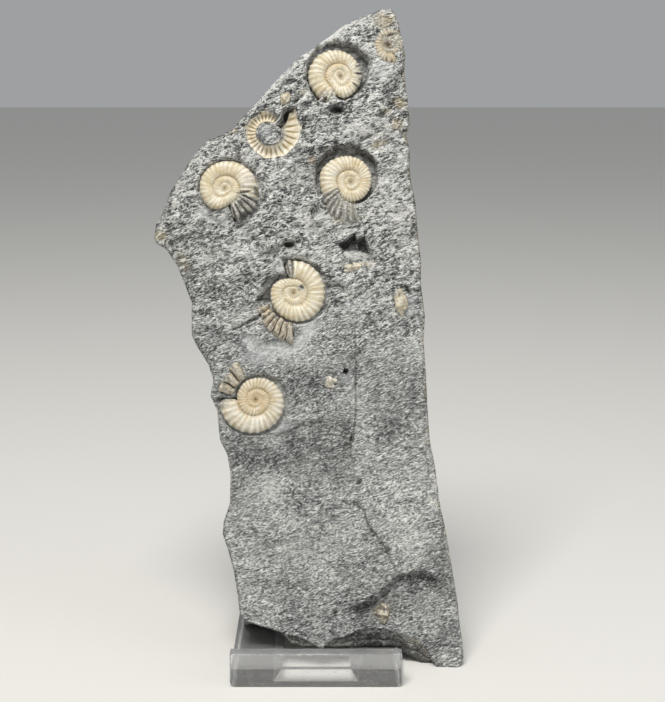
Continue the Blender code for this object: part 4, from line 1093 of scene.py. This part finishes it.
# How each shell was kept. Its whorls: turns, ribs a turn, how far the ribs sweep forward as a
# share of their spacing, their height as a share of the whorl's half width, and how thick the
# whorl is for its width. Before its mouth: degrees of crushed whorl, how far they sink, and how
# much they narrow. Its wear: how far the ribs are polished away on top, stretches of broken whorl
# as (from, to, amount) in degrees back from the mouth, and how dark the gaps in them are. Then
# patches of ochre, white, bare stone and dark breaks, given as the face's patches are.
COATS = {
    "ammonite_top": dict(
        turns=3.4, ribs=31, sweep=0.25, height=0.11, thick=0.9, before=30, sink=0.0, pinch=0.4,
        polish=0.4, worn=[(-40, -4, 0.5)], gaps=0.6,
        ochre=[((1.0, 181.2), (4.0, 1.6), 5, 0.7), ((-1.6, 177.8), (1.6, 3.6), 0, 0.45),
               ((-3.4, 173.0), (2.4, 2.0), 0, 0.4)],
        white=[((7.0, 180.6), (2.6, 3.0), -20, 0.6), ((5.2, 173.0), (3.6, 2.2), 20, 0.5)],
        stone=[((9.0, 178.4), (2.6, 5.0), 8, 0.75), ((-2.4, 171.8), (1.8, 1.4), 0, 0.7)],
        dark=[((8.2, 178.2), (2.0, 0.35), 0, 1.0), ((8.9, 176.2), (1.6, 0.3), -12, 0.7),
              ((7.6, 174.0), (1.8, 0.4), -40, 0.9), ((-2.2, 170.6), (0.8, 0.6), 0, 1.0),
              ((8.2, 180.6), (1.6, 0.25), 18, 0.7)],
    ),
    "ammonite_left": dict(
        turns=3.4, ribs=31, sweep=0.2, height=0.075, thick=0.88, before=0, sink=0.0, pinch=0.0,
        polish=0.7, worn=[(-9, 62, 1.0), (50, 88, 0.35)], gaps=0.9,
        ochre=[((-33.2, 148.2), (5.6, 2.0), 12, 0.6), ((-37.4, 144.6), (1.8, 3.4), 10, 0.4),
               ((-29.6, 144.6), (2.6, 2.0), 0, 0.25)],
        white=[((-25.6, 147.6), (2.6, 3.4), 0, 0.9), ((-34.0, 152.4), (6.0, 1.4), 12, 0.4)],
        stone=[((-24.6, 146.2), (2.2, 1.8), 0, 0.4)],
        dark=[((-25.6, 135.6), (3.0, 1.5), 22, 0.95), ((-22.8, 142.6), (0.9, 1.8), 10, 0.9),
              ((-27.6, 138.6), (1.8, 0.5), 60, 0.7), ((-26.2, 142.6), (2.4, 0.35), 8, 0.8)],
    ),
    "ammonite_right": dict(
        turns=3.4, ribs=34, sweep=0.2, height=0.1, thick=0.88, before=88, sink=1.0, pinch=0.0,
        polish=0.35, worn=[(-99, 4, 1.0)], gaps=0.4,
        ochre=[((5.5, 150.4), (4.4, 1.8), 0, 0.5), ((9.4, 144.2), (1.6, 3.4), 0, 0.35)],
        white=[((1.0, 149.6), (2.4, 3.0), 30, 0.5), ((11.4, 149.0), (2.2, 3.6), 30, 0.5)],
        stone=[((-1.6, 141.6), (2.0, 1.6), 20, 0.6)],
        dark=[((0.4, 139.4), (0.5, 0.8), 20, 0.5)],
    ),
    "ammonite_centre": dict(
        turns=3.4, ribs=30, sweep=0.15, height=0.11, thick=0.9, before=0, sink=0.0, pinch=0.0,
        polish=0.4, worn=[(-9, 22, 0.9)], gaps=0.8,
        ochre=[((-8.6, 117.4), (2.6, 2.4), -30, 0.4)],
        white=[((-8.4, 119.8), (4.0, 2.0), -25, 0.5), ((-7.4, 106.2), (4.6, 2.2), 30, 0.35)],
        stone=[((-14.6, 119.6), (2.6, 3.4), 10, 0.9), ((-9.4, 113.8), (1.4, 1.1), 0, 0.8)],
        dark=[((-9.2, 114.1), (0.8, 0.5), -30, 1.0), ((-16.6, 116.6), (1.4, 0.6), 60, 0.9)],
    ),
    "ammonite_low_left": dict(
        turns=3.4, ribs=30, sweep=0.15, height=0.095, thick=0.88, before=0, sink=0.0, pinch=0.0,
        polish=0.4, worn=[(-9, 8, 0.7)], gaps=0.7,
        ochre=[((-23.4, 81.2), (6.4, 5.2), 0, 1.0)],
        white=[((-21.0, 72.6), (10.0, 3.4), 0, 0.9), ((-15.0, 79.6), (3.2, 7.0), 0, 0.8),
               ((-22.6, 88.6), (6.0, 2.2), 0, 0.7), ((-30.4, 76.6), (3.4, 4.0), 20, 0.7)],
        stone=[((-33.4, 79.8), (2.2, 2.4), 0, 0.7)],
        dark=[],
    ),
}


def shell_material(name, cream, furrow_shade_colour, rough):
    """Calcite: three creams in clouds, with its stains, whites, breaks and the painted shade of its
    furrows laid over them; the whites include a painted highlight on the rib crests.
    """
    material, tree, shader = new_material(name)
    place = add(tree, "ShaderNodeTexCoord", out="Object")
    cloud = grain(tree, place, (3.0, 3.0, 3.0), 3.0, 4)
    speck = grain(tree, place, (0.7, 0.7, 0.5), 4.0, 5)
    blotch = grain(tree, place, (1.6, 1.6, 1.6), 4.0, 10)
    ochre, white, streak, furrow_shade, seam, stone, dark, centre = [
        add(tree, "ShaderNodeAttribute", out="Fac", attribute_name=look)
        for look in ("ochre", "white", "streak", "furrow_shade", "seam", "stone", "dark", "centre")
    ]
    creams = tuple(zip((0.3, 0.5, 0.7), cream))
    colour = add(tree, "ShaderNodeValToRGB", {"Fac": cloud}, stops=creams)
    marl_grey = add(tree, "ShaderNodeValToRGB", {"Fac": speck}, stops=(
        (0.34, "#5f5e5c"), (0.5, "#999894"), (0.66, "#d2d0c9")))
    colour = layered(tree, colour, [
        (ochre, 0.0, 0.62, "#d2b27a"),
        (white, 0.0, 0.7, "#f3efe5"),
        (blotch, 0.5, 3.2, "#c9b080"),
        (blotch, 0.44, -3.4, "#d9d8d0"),
        (streak, 0.5, 1.2, "#f5f1e6"),
        (streak, 0.46, -0.9, "#ab9a78"),
        (furrow_shade, 0.0, 0.62, furrow_shade_colour),
        (seam, 0.0, 0.7, "#8d7650"),
        (speck, 0.47, -2.4, "#a99a78"),
        (stone, 0.0, 0.92, marl_grey),
        (dark, 0.0, 0.9, "#35322e"),
        (centre, 0.0, 0.65, "#8c764e"),
    ])
    tree.links.new(colour, shader.inputs["Base Color"])
    tree.links.new(weighted(tree, rough, (stone, 0.4)), shader.inputs["Roughness"])
    shader.inputs["Specular IOR Level"].default_value = 0.4
    bump = add(tree, "ShaderNodeBump", {"Height": speck, "Strength": 0.5, "Distance": 0.3 * MM})
    tree.links.new(bump, shader.inputs["Normal"])
    return material


# Polished cream calcite: smooth, with a low broad gleam, and painted brown shade in the furrows
# between ribs
cream_calcite = shell_material(
    "polished_cream_calcite", ("#d2c9ad", "#dfd7c0", "#ebe5d4"), "#ab9a74", 0.42)
# Chalky calcite: the same shell less polished, whiter outside and tan in its inner whorls
chalky_calcite = shell_material(
    "chalky_white_calcite", ("#bfb69d", "#cec6af", "#dfd9c8"), "#9d9176", 0.5)

for name, coat in COATS.items():
    rings, looks = coiled_shell(SHELLS[name], coat, RIM_DEPTH)
    whorls = closed_tube(name + "_whorls", rings, looks)
    whorls.data.materials.append(chalky_calcite if name == "ammonite_low_left" else cream_calcite)
    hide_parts(name)
    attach(whorls, "root")


# The worn ammonite at the top corner lies almost level with the stone. Its shell is dull, with
# a grey centre where only the marl that filled it is left.
worn_shell = shell_material(
    "dull_worn_shell", ("#b5aa92", "#c9bfa8", "#dcd5c2"), "#7d705a", 0.7)
CORNER_COAT = dict(
    turns=2.8, ribs=24, sweep=0.1, height=0.2, thick=0.55, before=0, sink=0.0, pinch=0.0,
    polish=0.0, worn=[], gaps=0.0,
    ochre=[((12.6, 187.6), (2.0, 3.6), 0, 0.35)],
    white=[((13.2, 189.6), (1.6, 2.4), 0, 0.3)],
    stone=[((17.4, 187.6), (3.0, 3.2), 0, 0.85), ((20.4, 189.6), (1.6, 4.2), 0, 0.7),
           ((17.0, 191.6), (3.6, 1.2), 0, 0.35)],
    dark=[((17.6, 189.9), (2.2, 0.4), 8, 0.7), ((14.6, 182.2), (0.3, 1.3), 20, 0.6),
          ((16.2, 181.8), (0.25, 1.3), 5, 0.6), ((17.9, 181.9), (0.25, 1.3), -8, 0.6),
          ((19.6, 182.6), (0.3, 1.2), -20, 0.6)],
)
rings, looks = coiled_shell(SHELLS["ammonite_corner"], CORNER_COAT, CORNER_RIM_DEPTH)
corner_shell = closed_tube("ammonite_corner_whorls", rings, looks)
corner_shell.data.materials.append(worn_shell)
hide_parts("ammonite_corner")
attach(corner_shell, "root")


# The mould is a hollow that an ammonite left when it parted from the stone, still lined with its
# shell: a trough around a core of marl, with pale bands between thin brown furrows whose darkness
# is partly painted shade.
MOULD_RIBS = 27
ROWS_PER_BAND = 11
# Depths of the lining at the core's edge and the rim, at its lowest, and of its buried underside
CORE_EDGE_DEPTH = 0.15
RIM_EDGE_DEPTH = 0.75
LINING_DEPTH = 1.85
UNDERSIDE_DEPTH = 1.3
UNDERSIDE_SWELL = 1.7
FURROW_DEPTH = 0.38
MOULD_WHITE = [((-20.0, 154.0), (9.0, 5.0), 0, 0.7)]
MOULD_STONE = [((-21.5, 168.2), (5.0, 1.4), 0, 0.6), ((-14.6, 160.6), (1.2, 2.4), 0, 0.6)]
MOULD_DARK = [((-28.4, 158.6), (0.8, 3.0), 10, 0.3)]

# Degrees back from the mouth down the rows, then over the lining and back under it across them
back = np.linspace(0.0, MOULD_SPAN, MOULD_RIBS * ROWS_PER_BAND)[:, None]
rim = rim_radius(back, MOULD["rim"], MOULD["growth"])
core = np.maximum(rim_radius(back, MOULD["core"], 1.0), 8.7 - 0.17 * back)
over = np.linspace(0.0, 1.0, 26)[None, :]
under = np.linspace(1.0, 0.0, 10)[None, :]
phase = back * MOULD_RIBS / 360.0 + 0.35 * over ** 2
line = np.exp(-((phase - np.round(phase)) / 0.16) ** 2)
edge = CORE_EDGE_DEPTH + (RIM_EDGE_DEPTH - CORE_EDGE_DEPTH) * over
bowl = edge + (LINING_DEPTH - edge) * np.sin(math.pi * over ** 0.8) ** 0.8
bowl = bowl + FURROW_DEPTH * line * np.sin(math.pi * over) ** 0.5 + 0.0 * rim
buried = UNDERSIDE_DEPTH + UNDERSIDE_SWELL * np.sin(math.pi * under) ** 0.7 + 0.0 * rim
radius = np.concatenate([rim + (core - rim) * over, rim + (core - rim) * under], axis=1)
depth = np.concatenate([bowl, buried], axis=1)
direction = np.radians(MOULD["mouth"] - MOULD["turn"] * back)
u = MOULD["centre"][0] + radius * np.cos(direction)
v = MOULD["centre"][1] + radius * np.sin(direction)
rings = np.stack([u, depth, v], -1)
rings[..., 1] += (
    0.07 * noise(rings, (0.8, 0.8, 0.8), 51) + 0.05 * noise(rings, (0.35, 0.35, 0.35), 52)
)
share = np.concatenate(
    [np.broadcast_to(over, bowl.shape), np.broadcast_to(under, buried.shape)], axis=1)
line = np.concatenate([line, 0.0 * buried], axis=1)
wander = noise(rings, (1.3, 1.3, 1.3), 53)
white = 0.35 + 0.6 * ease((0.35 - share) / 0.3) + patches(u, v, wander, MOULD_WHITE)
looks = dict(
    streak=0.5 + 0.4 * wander,
    furrow_shade=1.9 * line * ease((1.0 - share) / 0.3) * ease((share + 0.05) / 0.6),
    seam=0.8 * ease((share - 0.86) / 0.12),
    centre=0.0 * u,
    ochre=0.5 * ease((0.5 - np.abs(share - 0.5)) / 0.5),
    white=np.clip(white, 0, 1),
    stone=np.clip(patches(u, v, wander, MOULD_STONE), 0, 1),
    dark=np.clip(patches(u, v, wander, MOULD_DARK), 0, 1),
)
trough = closed_tube("ammonite_mould_lining", rings, looks)
trough.data.materials.append(cream_calcite)
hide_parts("ammonite_mould")
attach(trough, "root")


# Two broken whorls lie beside the lower coils: the crushed last part of each shell, in blocks
# that split along the furrows, with ribs as sharp ridges and dirt in the cracks.

# Each runs round a centre between two radii, given for its start and its end, over a span of
# degrees. Its ribs have a crest's height, and its blocks are tilted and shifted so much.
BROKEN_WHORLS = {
    "broken_whorl_centre": dict(
        centre=(-11.8, 112.4), inner=(8.0, 9.0), outer=(11.4, 15.4), span=(203, 270), ribs=7,
        crest=0.8, block_tilt=0.4, seed=61, ochre=0.4, white=0.45,
    ),
    "broken_whorl_low_left": dict(
        centre=(-23.0, 80.5), inner=(6.9, 7.0), outer=(12.0, 11.4), span=(114, 170), ribs=3,
        crest=1.1, block_tilt=0.8, seed=62, ochre=0.1, white=0.8,
    ),
}
ROWS_PER_BLOCK = 26
# Share of a block's length that the gap at each end takes, and heights and depths of a block
BLOCK_GAP = 0.09
BLOCK_RISE = 0.8
BLOCK_SEAT = 1.2
BLOCK_BURIED = 1.9
BLOCK_MIDDLE = 1.6


def broken_whorl(spec):
    """Rings and looks of a crushed whorl: an arc whose cross section is a rounded oblong.

    Its top is a row of blocks with gaps between, each with a ridge that is a bell curve along it.
    """
    f = np.linspace(0.0, 1.0, spec["ribs"] * ROWS_PER_BLOCK)[:, None]
    angle = np.linspace(0.0, 2.0 * math.pi, 40, endpoint=False)[None, :]
    turn = np.radians(spec["span"][0] + (spec["span"][1] - spec["span"][0]) * f)
    inner = spec["inner"][0] + (spec["inner"][1] - spec["inner"][0]) * f
    outer = spec["outer"][0] + (spec["outer"][1] - spec["outer"][0]) * f
    in_block = (f * spec["ribs"]) % 1.0
    which = np.minimum(np.floor(f * spec["ribs"]), spec["ribs"] - 1)
    block = ease(in_block / BLOCK_GAP) * ease((1.0 - in_block) / BLOCK_GAP)

    # No two blocks lie or measure the same
    tilt = spec["block_tilt"] * np.sin(which * 2.3 + spec["seed"]) * (in_block - 0.5)
    shift = 0.5 * spec["block_tilt"] * np.sin(which * 4.1 + 1.0) * block
    half = 0.5 * (outer - inner) * (0.96 + 0.04 * block) * (1.0 + 0.07 * np.sin(which * 2.9 + 2.0))
    centre_radius = 0.5 * (outer + inner)
    radius = centre_radius + shift
    radius = radius + half * np.sign(np.cos(angle)) * np.abs(np.cos(angle)) ** 0.6
    top = np.maximum(np.sin(angle), 0.0) ** 0.6
    low = np.maximum(-np.sin(angle), 0.0) ** 0.6
    ridge = spec["crest"] * 0.35 * np.exp(-((in_block - 0.45) / 0.2) ** 2)
    rise = (BLOCK_RISE + ridge + tilt) * block + 0.1 * (block - 1.0)
    depth = BLOCK_SEAT - (BLOCK_SEAT + rise) * top + BLOCK_BURIED * low
    ends = ease(f / 0.012) * ease((1.0 - f) / 0.012)
    radius = centre_radius + (radius - centre_radius) * ends
    depth = BLOCK_MIDDLE + (depth - BLOCK_MIDDLE) * ends
    u = spec["centre"][0] + radius * np.cos(turn)
    v = spec["centre"][1] + radius * np.sin(turn)
    rings = np.stack([u, depth, v], -1)
    rings[..., 0] += 0.35 * noise(rings, (2.0, 2.0, 2.0), 66)
    rings[..., 2] += 0.35 * noise(rings, (2.0, 2.0, 2.0), 67)
    flaky = flakes(noise(rings, (0.9, 0.9, 0.9), spec["seed"]), 2.5)
    rings[..., 1] -= (0.22 * flaky + 0.1 * noise(rings, (0.4, 0.4, 0.4), 63)) * top
    gap = (1.0 - block) * top
    looks = dict(
        streak=0.5 + 0.5 * noise(rings, (0.7, 0.7, 0.7), 65),
        # Painted shade: each block darkens away from its ridge
        furrow_shade=0.9 * (1.0 - np.exp(-((in_block - 0.45) / 0.22) ** 2)),
        seam=0.0,
        centre=0.0,
        ochre=np.clip(spec["ochre"] * (1.0 + np.sin(which * 1.7)), 0, 1),
        # Painted highlight: each block is whitest along its ridge
        white=spec["white"] * np.exp(-((in_block - 0.45) / 0.2) ** 2),
        stone=np.clip(0.35 + 0.6 * noise(rings, (1.4, 1.4, 1.4), 64), 0, 1),
        dark=np.clip(1.3 * gap + 0.6 * ease((-flaky - 0.1) / 0.4), 0, 1),
    )
    return rings, {key: value + 0.0 * u for key, value in looks.items()}


for name, spec in BROKEN_WHORLS.items():
    rings, looks = broken_whorl(spec)
    blocks = closed_tube(name + "_blocks", rings, looks)
    blocks.data.materials.append(worn_shell)
    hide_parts(name)
    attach(blocks, "root")


# Four more pieces of shell and a pale nodule show at the surface, each a rounded lump of calcite
# that has grown in the stone and that the face broke across.

# Each has a centre on the face, half sizes across, up and into it, a turn in degrees, ribs
# along it, and how dark and how white it is.
FRAGMENTS = {
    "shell_fragment_upper": dict(
        centre=(-14.2, 170.6), half=(1.3, 2.3, 1.5), turn=-12, ribs=1.2, dark=0.3, white=0.1),
    "shell_fragment_middle": dict(
        centre=(7.2, 120.2), half=(4.0, 1.15, 1.3), turn=10, ribs=2.4, dark=0.3, white=0.3),
    "shell_fragment_right": dict(
        centre=(20.4, 109.6), half=(1.9, 4.2, 1.5), turn=8, ribs=2.4, dark=0.3, white=0.1),
    "shell_fragment_foot": dict(
        centre=(15.2, 16.3), half=(1.7, 2.8, 1.4), turn=-8, ribs=2.2, dark=0.8, white=0.2),
    "pale_nodule": dict(
        centre=(-0.5, 86.0), half=(2.2, 1.8, 1.6), turn=15, ribs=3.5, dark=0.15, white=0.6),
}
LUMP_DEPTH = 0.65


def fragment(lump, number):
    """Rings and looks of a lump: an oval whose radius swells by noise and by ribs along it."""
    polar = np.linspace(0.04, math.pi - 0.04, 60)[:, None]
    angle = np.linspace(0.0, 2.0 * math.pi, 72, endpoint=False)[None, :]
    x = np.cos(polar) + 0.0 * angle
    y = np.sin(polar) * np.sin(angle)
    z = np.sin(polar) * np.cos(angle)
    shape = np.stack([x, y, z], -1)
    lumpy = 1.0 + 0.36 * noise(shape, (0.7, 0.7, 0.7), 71 + number)
    rib = np.sin(x * math.pi * lump["ribs"] + 0.5)
    lumpy += 0.03 * rib * np.maximum(-y, 0.0) + 0.06 * noise(shape, (0.25, 0.25, 0.25), 81 + number)

    # The rings run round the longer axis, whichever way that lies
    across, up, deep = lump["half"]
    if up > across:
        du, dv = across * z * lumpy, up * x * lumpy
    else:
        du, dv = across * x * lumpy, -up * z * lumpy
    c, s = math.cos(math.radians(lump["turn"])), math.sin(math.radians(lump["turn"]))
    u = lump["centre"][0] + du * c - dv * s
    v = lump["centre"][1] + du * s + dv * c
    rings = np.stack([u, LUMP_DEPTH + deep * y * lumpy, v], -1)
    mottle = noise(rings, (0.8, 0.8, 0.8), 91)
    furrows = ease((0.4 - rib + mottle) / 0.9) * (np.abs(x) > 0.2)
    looks = dict(
        streak=0.5 + 0.5 * mottle,
        furrow_shade=np.clip(0.3 - 0.3 * rib + 0.3 * mottle, 0, 1),
        seam=0.0,
        centre=0.0,
        ochre=0.3,
        white=lump["white"],
        stone=np.clip(0.3 + 0.9 * mottle, 0, 1),
        dark=np.clip(lump["dark"] * furrows, 0, 1),
    )
    return rings, {key: value + 0.0 * x for key, value in looks.items()}


for number, (name, lump) in enumerate(FRAGMENTS.items()):
    rings, looks = fragment(lump, number)
    shell_lump = closed_tube(name + "_shell", rings, looks)
    shell_lump.data.materials.append(chalky_calcite if name == "pale_nodule" else cream_calcite)
    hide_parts(name)
    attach(shell_lump, "root")


# The stand is one sheet of clear plastic, bent and cut: a lip in front, two arms beside a slot, a
# foot behind and a leaning panel. Its edges are dressed smooth and its faces are dusty, and the
# white share of that dust is partly painted light.

# How far its edges are rounded, and the gap over which its loose triangles are joined
EDGE_ROUND = 0.45
WELD_GAP = 0.01
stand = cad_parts["display_stand"].copy()
stand.data = stand.data.copy()
stand.name = "display_stand_sheet"
bpy.context.scene.collection.objects.link(stand)
weld = stand.modifiers.new("weld", "WELD")
weld.merge_threshold = WELD_GAP * MM
rounding = stand.modifiers.new("rounding", "BEVEL")
rounding.width = EDGE_ROUND * MM
rounding.segments = 3
rounding.limit_method = "ANGLE"
rounding.angle_limit = math.radians(35.0)
stand.data.polygons.foreach_set("use_smooth", np.zeros(len(stand.data.polygons), bool))

# Clear plastic sheet: seen through to pale greys, with bright edges and a thin haze. A white
# diffuse share of 15 to 28 per cent shows, partly dust and partly painted light standing in for the
# light that would pass through to the floor beneath. Its dust and scratches are drawn 0.6 mm and
# 0.15 mm wide, coarser than they are, so that they show.
clear, tree, shader = new_material("clear_plastic_with_dust_and_painted_light")
place = add(tree, "ShaderNodeTexCoord", out="Object")
dust_and_painted_light = grain(tree, place, (0.6, 0.6, 0.6), 3.0, 6)
scratch = grain(tree, place, (0.15, 4.0, 4.0), 2.0, 7)
# Painted light: the white diffuse share grows with the dust and lightens the plastic
see_through = add(
    tree, "ShaderNodeValToRGB", {"Fac": dust_and_painted_light}, stops=((0.5, "#eeeeee"), (0.75, "#dcdcdc")))
haze = add(tree, "ShaderNodeValToRGB", {"Fac": dust_and_painted_light}, stops=((0.55, "#0a0a0a"), (0.8, "#484848")))
bump = add(tree, "ShaderNodeBump", {"Height": scratch, "Strength": 0.12, "Distance": 0.2 * MM})
shader.inputs["Base Color"].default_value = linear("#ffffff")
shader.inputs["IOR"].default_value = 1.49
tree.links.new(see_through, shader.inputs["Transmission Weight"])
tree.links.new(haze, shader.inputs["Roughness"])
tree.links.new(bump, shader.inputs["Normal"])
stand.data.materials.clear()
stand.data.materials.append(clear)
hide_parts("display_stand")
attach(stand, "root")
